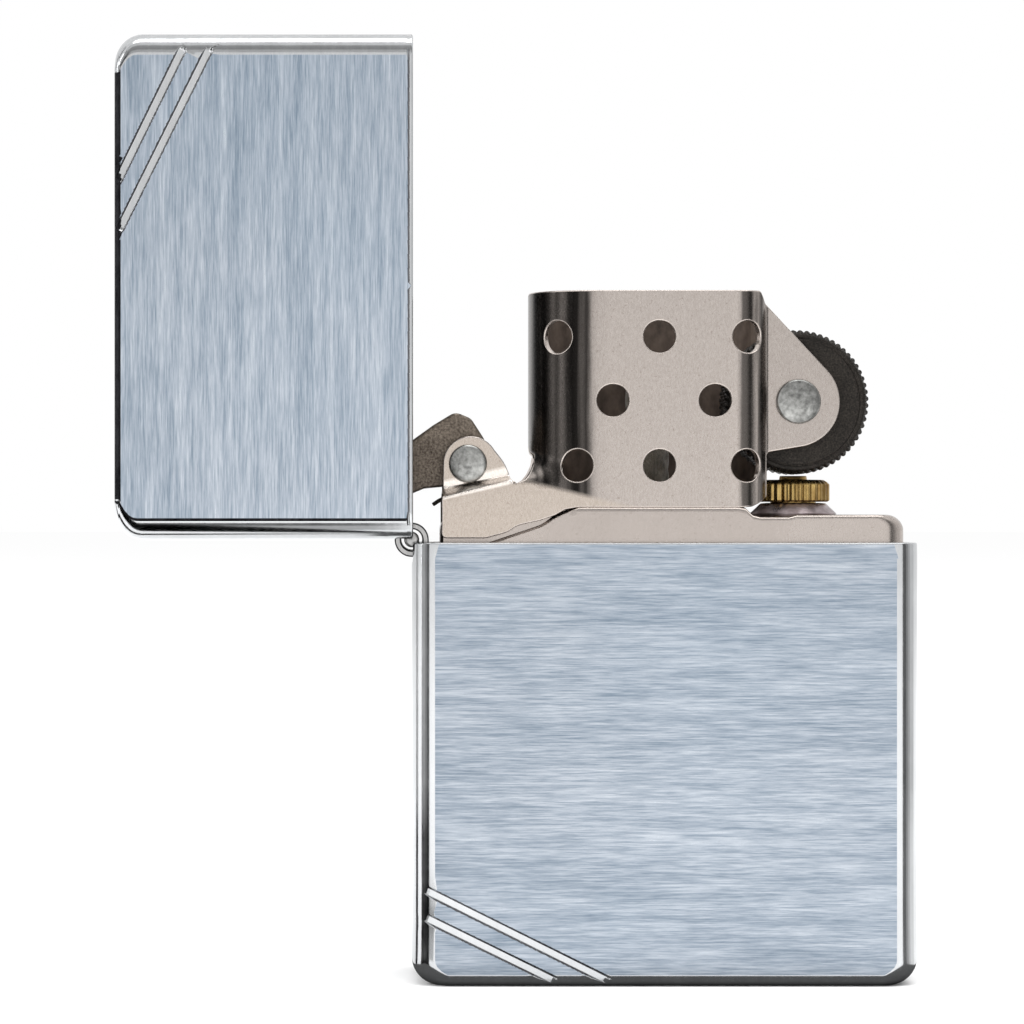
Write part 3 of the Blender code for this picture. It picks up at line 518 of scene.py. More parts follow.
def nickel(name, tone):
    """Warm nickel sheet, stamped, with faint grain and small pits."""
    made = material(name)
    grain = noise(made, (9000, 9000, 3600), 4, 0.7)
    cloud = noise(made, (120, 120, 90), 3, 0.6, (2, 8, 4))
    pits = noise(made, (5200, 5200, 5200), 2, 0.5, (5, 3, 9))
    both = mixed(made, grain, cloud, 0.5)
    low, high = (tuple(tone * v for v in shade) for shade in ((0.46, 0.41, 0.375), (0.52, 0.465, 0.43)))
    colour = ramp(made, both, [(0.1, low), (0.9, high)])
    speck = ramp(made, pits, [(0.28, (0.72, 0.68, 0.66)), (0.34, (1, 1, 1))])
    colour = blended(made, "MULTIPLY", 0.5, colour, speck)
    return surfaced(made, colour, both, (0.2, 0.32), (both, 0.12, 0.000008))


# The tone of the wind guard at each X, in millimetres: heat stain and painted dark reflections, in streaks up
# the bends
STAIN_AND_REFLECTION_TONES = (
    (-10.2, 0.16), (-9.95, 0.13), (-9.8, 0.035), (-9.6, 0.09), (-9.3, 0.12), (-9.15, 0.03),
    (-9.0, 0.02), (-8.75, 0.06), (-8.55, 0.1), (-8.1, 0.045), (-7.8, 0.14), (-7.5, 0.13),
    (-7.2, 0.05), (-6.95, 0.018), (-6.5, 0.018), (-6.2, 0.09), (-5.9, 0.035), (-5.65, 0.16),
    (-5.4, 0.4), (-5.0, 0.5), (-4.0, 0.54),
    (4.6, 0.54), (5.4, 0.56), (5.68, 0.4), (5.85, 0.13), (6.55, 0.11), (6.72, 0.45),
    (6.9, 0.62), (7.05, 0.2), (7.35, 0.06), (7.6, 0.25), (7.95, 0.5),
)


def guard():
    """Nickel that the flame's heat has browned in streaks up the bends, with painted dark reflections in the
    same streaks, a painted highlight on the fold under the cam's ear, and speckled with soot.
    """
    made = material("heat_stained_nickel_painted_reflections")
    across = axes(made, (1, 1, 1))["X"]
    wander = noise(made, (900, 900, 60), 3, 0.6)
    shifted = combined(made, across, ranged(made, wander, -0.0002, 0.0002, 0.3, 0.7))
    start, end = STAIN_AND_REFLECTION_TONES[0][0] * MM, STAIN_AND_REFLECTION_TONES[-1][0] * MM
    place = ranged(made, shifted, 0, 1, start, end)
    stops = [((x * MM - start) / (end - start), (v * 0.88, v * 0.79, v * 0.73)) for x, v in STAIN_AND_REFLECTION_TONES]
    # The streaks are heat stain and painted dark reflections of the studio in the curved bends.
    stain_and_painted_light = ramp(made, place, stops)
    up = axes(made, (0.25, 1, 1))
    height = combined(made, up["Z"], up["X"])
    foot = ranged(made, height, 1, 0, 35.15 * MM, 35.55 * MM)
    beyond = ranged(made, across, 1, 0, -11.3 * MM, -10.9 * MM)
    clean = combined(made, foot, beyond, "MAXIMUM")
    stain_and_painted_light = blended(made, "MIX", clean, stain_and_painted_light, (0.52, 0.455, 0.4, 1))
    # A pale band along the fold under the cam's ear, between two slanted levels: a painted highlight.
    slanted = axes(made, (-0.23, 1, 1))
    rise = combined(made, slanted["Z"], slanted["X"])
    above = ranged(made, rise, 0, 1, 40.3 * MM, 40.45 * MM)
    below = ranged(made, rise, 1, 0, 41.6 * MM, 41.9 * MM)
    painted_fold_highlight = combined(made, above, below, "MULTIPLY")
    stain_and_painted_light = blended(made, "MIX", combined(made, painted_fold_highlight, beyond, "MULTIPLY"), stain_and_painted_light, (0.95, 0.88, 0.82, 1))
    grain = noise(made, (9000, 9000, 3600), 4, 0.7)
    specks = noise(made, (5200, 5200, 5200), 2, 0.5, (5, 3, 9))
    grained = ramp(made, grain, [(0.35, (0.9, 0.89, 0.88)), (0.65, (1.04, 1.04, 1.04))])
    colour = blended(made, "MULTIPLY", 1.0, stain_and_painted_light, grained)
    speck = ramp(made, specks, [(0.28, (0.6, 0.55, 0.52)), (0.34, (1, 1, 1))])
    colour = blended(made, "MULTIPLY", 0.5, colour, speck)
    return surfaced(made, colour, grain, (0.18, 0.34), (grain, 0.14, 0.00001))


# Inside faces of the wind guard: soot, and made near black as painted shade for the dark inside.
def soot():
    made = material("soot_and_painted_shade_metal", 0.4)
    cloud = noise(made, (900, 900, 500), 4, 0.65)
    colour = ramp(made, cloud, [(0.3, (0.05, 0.036, 0.028)), (0.7, (0.16, 0.12, 0.095))])
    return surfaced(made, colour, cloud, (0.4, 0.7), (cloud, 0.3, 0.00004))


def dark_steel(name, low, high, grain_scale):
    """Blackened steel with a granular, slightly worn surface."""
    made = material(name, 0.75)
    grain = noise(made, (grain_scale,) * 3, 4, 0.75)
    cloud = noise(made, (500, 500, 500), 3, 0.6, (1, 6, 2))
    both = mixed(made, grain, cloud, 0.75)
    middle = tuple((a + b) / 2 for a, b in zip(low, high))
    colour = ramp(made, both, [(0.15, low), (0.6, middle), (0.95, high)])
    return surfaced(made, colour, both, (0.62, 0.38), (grain, 0.5, 0.00003))


def turned_metal(name, low, high, rough, lay=(2600, 2600, 500)):
    """Bright turned or rolled metal with fine tool marks."""
    made = material(name)
    marks = noise(made, lay, 4, 0.65)
    cloud = noise(made, (420, 420, 420), 3, 0.6, (6, 2, 4))
    both = mixed(made, marks, cloud, 0.55)
    colour = ramp(made, both, [(0.1, low), (0.9, high)])
    return surfaced(made, colour, both, (rough + 0.1, rough - 0.06), (marks, 0.2, 0.000012))


def fibre(name, low, high, scale, depth):
    """Fluffy or felted fibre."""
    made = material(name, 0.0, Sheen_Weight=0.35, Sheen_Roughness=0.5)
    strands = noise(made, scale, 5, 0.75)
    tufts = noise(made, tuple(s / 5 for s in scale), 3, 0.6, (2, 2, 5))
    both = mixed(made, strands, tufts, 0.6)
    colour = ramp(made, both, [(0.1, low), (0.9, high)])
    return surfaced(made, colour, both, (0.98, 0.85), (both, 0.7, depth))


CASE_BRUSHED = brushed("brushed_chrome_case", "X", 0.67)
LID_BRUSHED = brushed("brushed_chrome_lid", "Z", 0.75)
POLISHED = polished()
# The grooves' sides: painted shade.
GROOVE_PAINTED_SHADE = turned_metal("groove_side_painted_shade", (0.1, 0.1, 0.11), (0.2, 0.2, 0.21), 0.45)
# Near black: a painted dark reflection line along the lid panels' edges, and painted shade along the hinge
# leaves' rounded edges.
PAINTED_DARK_LINE = turned_metal("painted_dark_edge_line", (0.004, 0.004, 0.005), (0.03, 0.03, 0.033), 0.4)
NICKEL = nickel("nickel_plate", 0.92)
# The wind guard's cut edges: nickel lightened beyond the plate's tone, a painted highlight on the rims.
EDGE_PAINTED_HIGHLIGHT = nickel("nickel_edge_painted_highlight", 1.15)
GUARD = guard()
SOOT_AND_PAINTED_SHADE = soot()
WHEEL_STEEL = dark_steel("wheel_steel", (0.006, 0.0055, 0.005), (0.05, 0.042, 0.035), 7000)
CAM_STEEL = dark_steel("cam_steel", (0.045, 0.034, 0.027), (0.3, 0.25, 0.2), 5200)
SPRING_STEEL = dark_steel("spring_steel", (0.03, 0.025, 0.022), (0.2, 0.17, 0.15), 3000)
RIVET_STEEL = turned_metal("rivet_steel", (0.13, 0.13, 0.125), (0.52, 0.52, 0.5), 0.3, (2600, 2600, 2600))
BRIGHT_STEEL = turned_metal("hinge_steel", (0.3, 0.3, 0.3), (0.52, 0.51, 0.5), 0.26)
WASHER_STEEL = turned_metal("washer_steel", (0.2, 0.16, 0.16), (0.42, 0.36, 0.37), 0.3)
BRASS = turned_metal("aged_brass", (0.2, 0.11, 0.035), (0.55, 0.39, 0.15), 0.26, (1200, 1200, 700))
FLINT = dark_steel("flint_stone_grain", (0.02, 0.018, 0.016), (0.16, 0.14, 0.12), 4000)
COTTON = fibre("cotton_fibre", (0.7, 0.67, 0.6), (0.93, 0.91, 0.87), (2500, 2500, 2500), 0.0003)
WICK = fibre("wick_fibre", (0.06, 0.05, 0.04), (0.34, 0.3, 0.24), (4000, 4000, 1800), 0.00012)
FELT = fibre("felt_fibre", (0.36, 0.35, 0.33), (0.62, 0.61, 0.58), (3000, 3000, 1500), 0.0001)


# Drawn shells


class Shell:
    """A deep-drawn rounded box, open at its top end. u runs round it from the middle of the front and v
    up it from the rim of its flat end."""

    def __init__(self, half_x, half_y, corner, end_x, end_y, height, panel_round=1.3, cuts=(), pressed=False):
        self.half_x, self.half_y, self.corner = half_x, half_y, corner
        self.end_x, self.end_y, self.height, self.panel_round = end_x, end_y, height, panel_round
        self.flat_x, self.flat_y = half_x - corner, half_y - corner
        self.turn = corner * math.pi / 2
        self.quarter = self.flat_x + self.turn + self.flat_y
        self.bend = end_y * math.pi / 2
        self.top = self.bend + height - end_y
        self.cuts, self.pressed = cuts, pressed

    def z_of(self, v):
        return np.where(v < self.bend, self.end_y * (1 - np.cos(v / self.end_y)), v - self.bend + self.end_y)

    def v_of(self, z):
        low = self.end_y * np.arccos(np.clip(1 - z / self.end_y, -1, 1))
        return np.where(z < self.end_y, low, z - self.end_y + self.bend)

    def section(self, v):
        """Half length, half width and the half length of the flat front, at each v."""
        z = self.z_of(v)
        side = np.sqrt(np.maximum(self.end_x**2 - np.maximum(self.end_x - z, 0) ** 2, 0))
        half_x = self.half_x - np.where(z < self.end_x, self.end_x - np.sign(v) * side, 0)
        half_y = self.half_y - np.where(v < self.bend, self.end_y * (1 - np.sin(v / self.end_y)), 0)
        t = np.clip((z - 0.8 * self.end_y) / self.panel_round, 0, 1)
        flat = self.flat_x - self.panel_round * (1 - t) ** 2.2
        return half_x, half_y, flat

    def place(self, flat_points, cut=True):
        u, v = flat_points[:, 0], flat_points[:, 1]
        half_x, half_y, flat = self.section(v)
        w = np.abs(u)
        back = w > self.quarter
        w = np.where(back, 2 * self.quarter - w, w)
        angle = np.clip((w - self.flat_x) / self.turn, 0, 1) * math.pi / 2
        on_flat, on_side = w < self.flat_x, w > self.flat_x + self.turn
        x = np.where(on_flat, w * flat / self.flat_x, flat + (half_x - flat) * np.sin(angle))
        y = self.flat_y + (half_y - self.flat_y) * np.cos(angle)
        y = np.where(on_side, self.flat_y - (w - self.flat_x - self.turn), y)
        x = x * np.sign(u)
        z = self.z_of(v)
        if cut:
            for depth in self.cuts:
                y = np.minimum(y, self.half_y - depth(x, z))
        return np.stack((x, np.where(back, y, -y), z), axis=1)

    def inner(self, flat_points):
        return self.place(flat_points, self.pressed)

    def flat_of(self, x, z, back=False):
        """Where a point of the front or back, seen square on, lies in the flat."""
        v = self.v_of(np.array(z, float))
        half_x, _, flat = self.section(v)
        size = np.abs(x)
        reach = np.clip((size - flat) / np.maximum(half_x - flat, 1e-6), 0, 0.999)
        round_corner = self.flat_x + self.turn * np.arcsin(reach) / (math.pi / 2)
        w = np.where(size < flat, size * self.flat_x / flat, round_corner)
        w = np.where(back, 2 * self.quarter - w, w)
        return np.stack((w * np.sign(x), v), axis=1)

    def grid(self):
        flats = np.linspace(-self.flat_x, self.flat_x, 57)
        turn = np.linspace(0, self.turn, 25)[1:-1]
        side = np.linspace(self.flat_x + self.turn, self.flat_x + self.turn + 2 * self.flat_y, 7)
        columns = np.concatenate((
            flats, self.flat_x + turn, side, 2 * self.quarter - self.flat_x - turn,
            2 * self.quarter - flats[flats >= 0],
        ))
        columns = np.unique(np.round(np.concatenate((columns, -columns)), 6))
        columns = columns[np.abs(columns) < 2 * self.quarter - 0.2]
        rows = np.concatenate((
            np.linspace(0, self.bend, 9)[1:],
            self.bend + np.linspace(0, max(self.end_x, self.panel_round) + 0.3, 9)[1:],
            np.arange(self.bend + 3.2, self.top, 1.4),
        ))
        return columns, rows

    def build(self, shape, wall, edge, notch, lines, slot_of, inner_slot=0, edge_slot=0, cap=True):
        """Adds the shell. The notch is (half width, depth) of the opening for the hinge, at -X."""
        columns, rows = self.grid()
        points = np.stack(np.meshgrid(columns, rows), axis=-1).reshape(-1, 2)
        end = 2 * self.quarter
        bottom = [(u, 0.0) for u in np.concatenate(([-end], columns, [end]))]
        right = [(end, v) for v in rows if v < self.top - 0.5]
        step = 0.6
        top = [(u, self.top) for u in np.arange(end, -end, -step)]
        if notch:
            half, deep = notch
            near, far = -self.quarter + half, -self.quarter - half
            corners = eased([
                (end, self.top, 0), (near, self.top, 0.2), (near, self.top - deep, 0.3),
                (far, self.top - deep, 0.3), (far, self.top, 0.2), (-end, self.top, 0),
            ])
            top = [point for a, b in zip(corners, corners[1:]) for point in divided(a, b, step)]
        left = [(-end, v) for v in [self.top, *[r for r in rows[::-1] if r < self.top - 0.5]]]
        outline = bottom + right + top + left

        def seam(a, b):
            level = a[1] == b[1] == 0
            return level or (abs(a[0]) == abs(b[0]) == end and a[0] == b[0])

        sheet(shape, outline, [], self.place, wall, edge, seam=seam, lines=lines, grid=points,
              slot_of=slot_of, inner_slot=inner_slot, edge_slot=edge_slot, inner_place=self.inner)
        self.rim = bottom[:-1]
        if not cap:
            return
        rim = np.array(self.rim)
        down = np.tile((0, 0, -1.0), (len(rim), 1))
        face = tuple(range(len(rim)))
        shape.add(self.place(rim), down, [face[::-1]], edge_slot)
        shape.add(self.inner(rim) - wall * down, -down, [face], inner_slot)


def slash_cut(start, end, width=0.57, deep=0.2):
    """The depth of a flat-bottomed diagonal groove with soft shoulders, and the lines that it follows."""
    start, end = np.array(start), np.array(end)
    length = np.linalg.norm(end - start)
    along = (end - start) / length
    across = np.array((-along[1], along[0]))

    def depth(x, z):
        t = (x - start[0]) * along[0] + (z - start[1]) * along[1]
        d = np.abs((x - start[0]) * across[0] + (z - start[1]) * across[1])
        ends = smooth((t + 0.75) / 0.3) * smooth((length - t + 0.6) / 0.3)
        return deep * smooth((width / 2 + 0.1 - d) / 0.17) * ends

    def lines(shell):
        found = []
        for back in (False, True):
            for offset in (-0.4, -0.335, -0.29, -0.245, -0.2, 0, 0.2, 0.245, 0.29, 0.335, 0.4):
                t = np.linspace(-0.6, length + 0.45, 40)
                line = start + along * t[:, None] + across * offset
                line = line[line[:, 1] > 0.03]
                found.append(shell.flat_of(line[:, 0], line[:, 1], back))
        return found

    return depth, lines


def shell_slots(shell, panel_start, panel_end, painted_dark_bands=False):
    """Slot 0 on the brushed panels of the front and back, 1 on the polished rounded edges and the bottoms
    of the grooves, 3 on the grooves' sides, painted dark as shade, and 4 on the edges of the panels that are
    asked for, painted near black as a dark reflection line."""

    def slots(middles):
        size = np.abs(middles[:, 0])
        flat = (size < shell.flat_x) | (size > 2 * shell.quarter - shell.flat_x)
        z = shell.z_of(middles[:, 1])
        panel = flat & (z > panel_start) & (z < panel_end)
        spots = shell.place(middles)
        sunk = shell.half_y - np.abs(spots[:, 1])
        found = np.where(panel & (sunk < 0.004), 0, 1)
        # The grooves' sides take slot 3, painted dark as shade.
        found = np.where(flat & (z > shell.end_y) & (sunk > 0.004) & (sunk < 0.165), 3, found)
        # Bands along the panels' edges and their end, in the near-black slot 4: a painted dark reflection
        # line.
        if painted_dark_bands:
            beyond = np.minimum(size - shell.flat_x, 2 * shell.quarter - shell.flat_x - size)
            low_side = (middles[:, 0] < 0) & (z < panel_end)
            found = np.where(low_side & (z > panel_start) & (beyond > 0) & (beyond < 0.11), 0, found)
            found = np.where(low_side & (beyond > 0.11) & (beyond < 0.34), 4, found)
            found = np.where(flat & (z < panel_start), 4, found)
        return found

    return slots


# Shells of the case and the lid

HINGE = Vector(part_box("hinge_pin")[0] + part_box("hinge_pin")[1]) / 2 / MM
CASE_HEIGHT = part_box("case_shell")[1].z / MM
HALF_X, HALF_Y, CORNER_ROUND, END_ROUND = 19.05, 6.4, 1.75, 2.1
WALL, LIP_EDGE = 0.65, 0.14
HINGE_NOTCH = (5.1, 1.55)

case_cuts = [slash_cut((-17.5, 7.0), (-4.7, 0.65)), slash_cut((-17.5, 4.95), (-8.7, 0.65))]
case_depths = [depth for depth, _ in case_cuts]
case = Shell(HALF_X, HALF_Y, CORNER_ROUND, END_ROUND, end_y=0.9, height=CASE_HEIGHT, cuts=case_depths)
case_lines = [line for _, lines in case_cuts for line in lines(case)]
shape = Shape()
case.build(shape, WALL, LIP_EDGE, HINGE_NOTCH, case_lines,
           shell_slots(case, 0.9, CASE_HEIGHT - 0.05), 2, 1)
case_piece = shape.build("case_steel", [CASE_BRUSHED, POLISHED, BRIGHT_STEEL, GROOVE_PAINTED_SHADE])
fit(case_piece, "case", "satin_chrome", "case_shell")

LID_LENGTH = 22.4
CASE_RIM_Z = 33.4
ABOVE_HINGE = CASE_RIM_Z + LID_LENGTH - HINGE.z
lid_end = HINGE.x - ABOVE_HINGE


def lid_point(x_from_hinge, z_from_hinge):
    """A point of the closed lid, given from the hinge axis, in the lid shell's own coordinates."""
    return (x_from_hinge + HINGE.x, ABOVE_HINGE - z_from_hinge)


lid_cuts = [
    slash_cut(lid_point(27.45, 21.75), lid_point(36.55, 17.3)),
    slash_cut(lid_point(23.75, 21.65), lid_point(36.55, 15.3)),
]


def lip_cut(x, z):
    """A hairline groove just inside the mouth."""
    return 0.05 * smooth((0.075 - np.abs(z - (LID_LENGTH - 0.33))) / 0.05)


lid_depths = [depth for depth, _ in lid_cuts] + [lip_cut]
lid = Shell(HALF_X, HALF_Y, CORNER_ROUND, END_ROUND, end_y=0.5, height=LID_LENGTH, cuts=lid_depths)
lid_lines = [line for _, lines in lid_cuts for line in lines(lid)]
for z in (-0.42, -0.375, -0.35, -0.31, -0.285, -0.24):
    reach = lid.flat_x + lid.turn
    behind = np.linspace(2 * lid.quarter - reach, 2 * lid.quarter - 0.3, 20)
    for u in (np.linspace(-reach, reach, 40), -behind, behind):
        lid_lines.append(np.stack((u, np.full(len(u), lid.top + z)), axis=1))
shape = Shape()
lid.build(shape, WALL, LIP_EDGE, HINGE_NOTCH, lid_lines,
          shell_slots(lid, 0.5, LID_LENGTH - 0.36, True), 2, 1)


def lid_open(points, place=True):
    """Turns the lid's shell from standing on its end to lying open to the left of the hinge."""
    x, y, z = points.T
    if place:
        return np.stack((z + lid_end, -y, x - HINGE.x + HINGE.z), axis=1)
    return np.stack((z, -y, x), axis=1)


lid_piece = shape.build("lid_steel", [LID_BRUSHED, POLISHED, BRIGHT_STEEL, GROOVE_PAINTED_SHADE, PAINTED_DARK_LINE], lid_open)
fit(lid_piece, "lid", "satin_chrome", "lid_shell")

# Hinge


def leaf(name, fingers, lid_side):
    """A hinge leaf whose fingers are rolled round the pin, cut and rolled from one strip."""
    roll, plate, gap = 1.29, 9.0, 0.06
    start = plate + 1.5
    turn = math.radians(296)
    reach = start + roll * turn

    def place(flat):
        u, v = flat.T
        angle = np.maximum(u - start, 0) / roll
        x = roll * np.cos(angle)
        z = np.where(u < start, u - start, roll * np.sin(angle))
        if lid_side:
            return np.stack((z + HINGE.x, v, x + HINGE.z), axis=1)
        return np.stack((x + HINGE.x, -v, z + HINGE.z), axis=1)

    corners = [(0, -4.8, 0.5), (plate, -4.8, 0.1)]
    if fingers[0][0] > -4.8:
        corners[1] = (plate, -4.8, 0.3)
    for low, high in fingers:
        low, high = low + gap, high - gap
        corners += [(plate, low, 0.1), (reach, low, 0.06), (reach, high, 0.06), (plate, high, 0.1)]
    corners += [(plate, 4.8, 0.3), (0, 4.8, 0.5)]
    kept = [c for n, c in enumerate(corners) if math.dist(c[:2], corners[n - 1][:2]) > 0.1]
    shape = Shape()
    # The leaf's rounded edges take slot 1, near black: painted shade along the edges.
    sheet(shape, spaced(eased(kept, 3), 0.25), [], place, 0.48, 0.1, 0.4, corner_slot=1)
    return shape.build(name, [BRIGHT_STEEL, PAINTED_DARK_LINE])


hinge = [
    (leaf("case_hinge", ((-4.8, -3.0), (-1.0, 1.0), (3.0, 4.8)), False), "case", "case_hinge_leaf"),
    (leaf("lid_hinge", ((-2.8, -1.2), (1.2, 2.8)), True), "lid", "lid_hinge_leaf"),
]
for piece, body, replaced in hinge:
    fit(piece, body, "bright_steel", replaced)
pin_end = [(0, 4.78, 0), (0.42, 4.74, 0.1), (0.57, 4.6, 0.1)]
turned("hinge_pin_steel", BRIGHT_STEEL, mirrored(pin_end[::-1]) + pin_end[::-1], HINGE, 40,
       ("case", "bright_steel", "hinge_pin"), "Y")

# Tank

TANK_X, TANK_TOP = 0.6, 35.5
TUBE_X, WHEEL_Z = 10.2, 43.95
CAM_X, CAM_Z, CAM_WIDE = -14.8, 39.25, 6.16
WICK_X = -1.0
LAP_START, LAP_WAY = np.array((-13.1, 33.25)), np.array((6.2, 2.1)) / math.hypot(6.2, 2.1)


def lap(x, z):
    """How far the tank's front is pressed in where the wind guard's skirt laps over it."""
    d = -(x + TANK_X - LAP_START[0]) * LAP_WAY[1] + (TANK_TOP - z - LAP_START[1]) * LAP_WAY[0]
    return 0.72 * smooth(d / 0.2 + 0.5) * smooth((5.0 - z) / 0.6)


tank = Shell(17.5, 5.5, corner=1.6, end_x=1.3, end_y=0.35, height=34.0, panel_round=0.6,
             cuts=[lap], pressed=True)


def tank_turn(points, place=True):
    """Turns the tank's shell from standing on its flat end to hanging from it, stands its top up under the
    wind guard and lowers it under the washer."""
    x, y, z = points.T
    if not place:
        return np.stack((x, -y, -z), axis=1)
    x = x + TANK_X
    stops, rises = (-9.4, -8.4, 5.95, 6.75, 9.45, 9.75), (0, 0.5, 0.5, -0.25, -0.25, -0.1)
    return np.stack((x, -y, TANK_TOP - z + np.interp(x, stops, rises) * smooth(1 - z / 1.6)), axis=1)


shape = Shape()
lap_lines = []
for offset in (-0.12, -0.06, 0, 0.06, 0.12):
    for behind in (False, True):
        t = np.linspace(-2.0, 7.0, 40)[:, None]
        line = LAP_START + t * LAP_WAY + offset * np.array((-LAP_WAY[1], LAP_WAY[0]))
        x, z = line[:, 0] - TANK_X, TANK_TOP - line[:, 1]
        kept = (z > 0.02) & (x > -17.3)
        lap_lines.append(tank.flat_of(x[kept], z[kept], behind))
tank.build(shape, 0.45, 0.1, None, lap_lines, lambda middles: np.zeros(len(middles), int), 0, 0, cap=False)
rim = tank.place(np.array(tank.rim))[:, :2]


def cap_place(flat):
    x, y = flat.T
    return np.stack((x, y, 0 * x), axis=1)


def ring(x, y, radius, steps=40):
    return arc((x, y), radius, 0, 360, steps)[:-1]


sheet(shape, [tuple(p) for p in rim], [ring(TUBE_X - TANK_X, 0, 1.95), ring(WICK_X - TANK_X, 0, 1.95)],
      cap_place, 0.45, 0.08, 0.6, seam=lambda a, b: True, flip=True)
tank_piece = shape.build("tank_sheet", [NICKEL], tank_turn)
fit(tank_piece, "insert", "nickel_sheet", "insert_tank")

# Wind guard

FACE_Y, BEND_X, BEND = 5.3, -5.5, 4.6
BENT = BEND * math.pi / 2
SEAM = BEND_X - BENT - (FACE_Y - BEND)
CORNER, CORNER_BACK, CORNER_TURN = 2.2, 0.35, math.atan2(1.6, 0.7)
CORNER_X = 7.05 - CORNER * math.tan(CORNER_TURN / 2)
SLANT = math.hypot(1.6, 0.7) - (CORNER + CORNER_BACK) * math.tan(CORNER_TURN / 2)
EAR_START = CORNER_X + (CORNER + CORNER_BACK) * CORNER_TURN + SLANT


def corner_place(p):
    """Plan of the front sheet beyond its flat: round the corner, inwards, and out again as an ear."""
    first = np.clip((p - CORNER_X) / CORNER, 0, CORNER_TURN)
    slant = np.clip(p - CORNER_X - CORNER * CORNER_TURN, 0, SLANT)
    second = np.clip((p - CORNER_X - CORNER * CORNER_TURN - SLANT) / CORNER_BACK, 0, CORNER_TURN)
    last = np.maximum(p - EAR_START, 0)
    back = CORNER_TURN - second
    x = CORNER_X + CORNER * np.sin(first) + slant * math.cos(CORNER_TURN)
    x += CORNER_BACK * (math.sin(CORNER_TURN) - np.sin(back)) + last
    y = CORNER * (1 - np.cos(first)) + slant * math.sin(CORNER_TURN)
    y += CORNER_BACK * (np.cos(back) - math.cos(CORNER_TURN))
    return x, y - FACE_Y


def flare(a, z):
    """Plan of the front sheet a long way round the bend, which opens out flat towards its foot."""
    start = 36.7 + 0.2 * np.minimum(a, 5)
    bend = np.maximum(smooth((z - start) / 2.6), 1e-3) / BEND
    angle = bend * np.minimum(a, BENT)
    straight = np.maximum(a - BENT, 0)
    x = BEND_X - np.sin(angle) / bend - straight * np.cos(angle)
    return x, (1 - np.cos(angle)) / bend + straight * np.sin(angle) - FACE_Y


def ear_reach(a):
    """How far left of the bend the cam's ear lies, for its place in the flat."""
    return a - 1.6 * smooth((a - 5) / 3.5)


def fold_band(x):
    """The lowest and highest points of the fold under the cam's ear."""
    tilt = np.clip((x + 16.8) / 4.9, -0.2, 1.3)
    return 36.55 + 1.3 * tilt, 37.45 + 0.95 * tilt


def guard_place(flat):
    p, z = flat.T
    a = np.maximum(BEND_X - p, 0)
    flared_x, flared_y = flare(a, z)
    reach = ear_reach(a)
    x_ear = BEND_X - reach
    low, high = fold_band(x_ear)
    fold = 1.4 * smooth((z - low) / (high - low)) * smooth((-10.5 - x_ear) / 0.7)
    on_ear = smooth(0.5 - (z - 38.0 - (a - 6.0) * 1.17) / 0.6)
    left_x = flared_x + (x_ear - flared_x) * on_ear
    left_y = flared_y + (fold - FACE_Y - flared_y) * on_ear
    right_x, right_y = corner_place(np.maximum(p, CORNER_X))
    x = np.where(a > 0, left_x, np.where(p > CORNER_X, right_x, p))
    y = np.where(a > 0, left_y, np.where(p > CORNER_X, right_y, -FACE_Y))
    return np.stack((x, y, z), axis=1)


def flat_ear(x):
    """The flat coordinate of a point on the cam's ear or the skirt."""
    a = np.linspace(0, 16, 1601)
    return BEND_X - float(np.interp(BEND_X - x, ear_reach(a), a))


def ear_points(points):
    """Points (x, z, rounding) of the cam's ear or the skirt, in the flat."""
    return [(flat_ear(x), z, rounding) for x, z, rounding in points]


def flat_bend(x):
    """The flat coordinate of a point on the round bend."""
    return BEND_X - BEND * math.asin((BEND_X - x) / BEND)


def flat_corner(x):
    """The flat coordinate of a point right of the middle of the face."""
    p = np.linspace(0, EAR_START + 8, 1601)
    return float(np.interp(x, np.where(p > CORNER_X, corner_place(np.maximum(p, CORNER_X))[0], p), p))


def opening(z):
    """How far round the bend the open edge over the cam lies, so that it shows this outline."""
    edge = np.interp(z, (37.86, 38.1, 38.5, 39.2, 39.9), (-10.9, -10.5, -10.18, -9.87, -9.8))
    a = np.linspace(0, BENT, 400)
    return float(np.interp(-edge, -flare(a, np.full(400, z))[0], a))


side = [(BEND_X - opening(z), z) for z in np.linspace(39.9, 37.95, 14)]
last = BEND_X - side[0][0]
rise = [(SEAM + (BEND_X - SEAM - last) * t**1.3, 39.9 + 0.85 * (1 - t**0.8)) for t in np.linspace(0, 0.9, 9)]
foot = eased([(*side[-1], 0), *ear_points([
    (-11.0, 37.82, 0.3), (-11.45, 37.97, 0.3), (-11.62, 38.25, 0), (-12.8, 40.29, 0),
])])[1:-1]
cam_ear = [(flat_ear(x), z) for x, z in arc((-14.6, CAM_Z), 2.08, 30, 180, 28)]
skirt = eased(ear_points([
    (-16.68, 39.2, 0), (-16.72, 37.4, 0.4), (-16.8, 36.6, 0.4), (-16.8, 33.62, 0.4), (-13.5, 33.62, 1.0),
    (-11.6, 34.25, 1.0), (-9.43, 34.95, 1.0), (-8.25, 35.35, 0.6), (-7.5, 35.78, 0.4), (-6.4, 35.95, 0.4),
]) + [
    (5.2, 35.9, 1.0), (flat_corner(6.6), 36.0, 0.6), (flat_corner(7.85), 36.7, 0.3),
    (flat_corner(7.85), 38.0, 0),
])[1:-1]
wheel_ear = [(flat_corner(7.85), 39.3), *eased([
    (flat_corner(7.85), 39.5, 0), (flat_corner(7.85), 40.12, 0.5), (flat_corner(9.0), 40.3, 0),
])[1:-1]]
wheel_ear += [(flat_corner(x), z) for x, z in arc((9.9, WHEEL_Z), 3.45, -83, 43, 30)]
wheel_ear += eased([
    (flat_corner(9.5), 49.4, 0), (flat_corner(7.75), 51.35, 0.5), (flat_corner(7.3), 52.3, 0.5),
    (5.0, 52.3, 0),
])[1:]
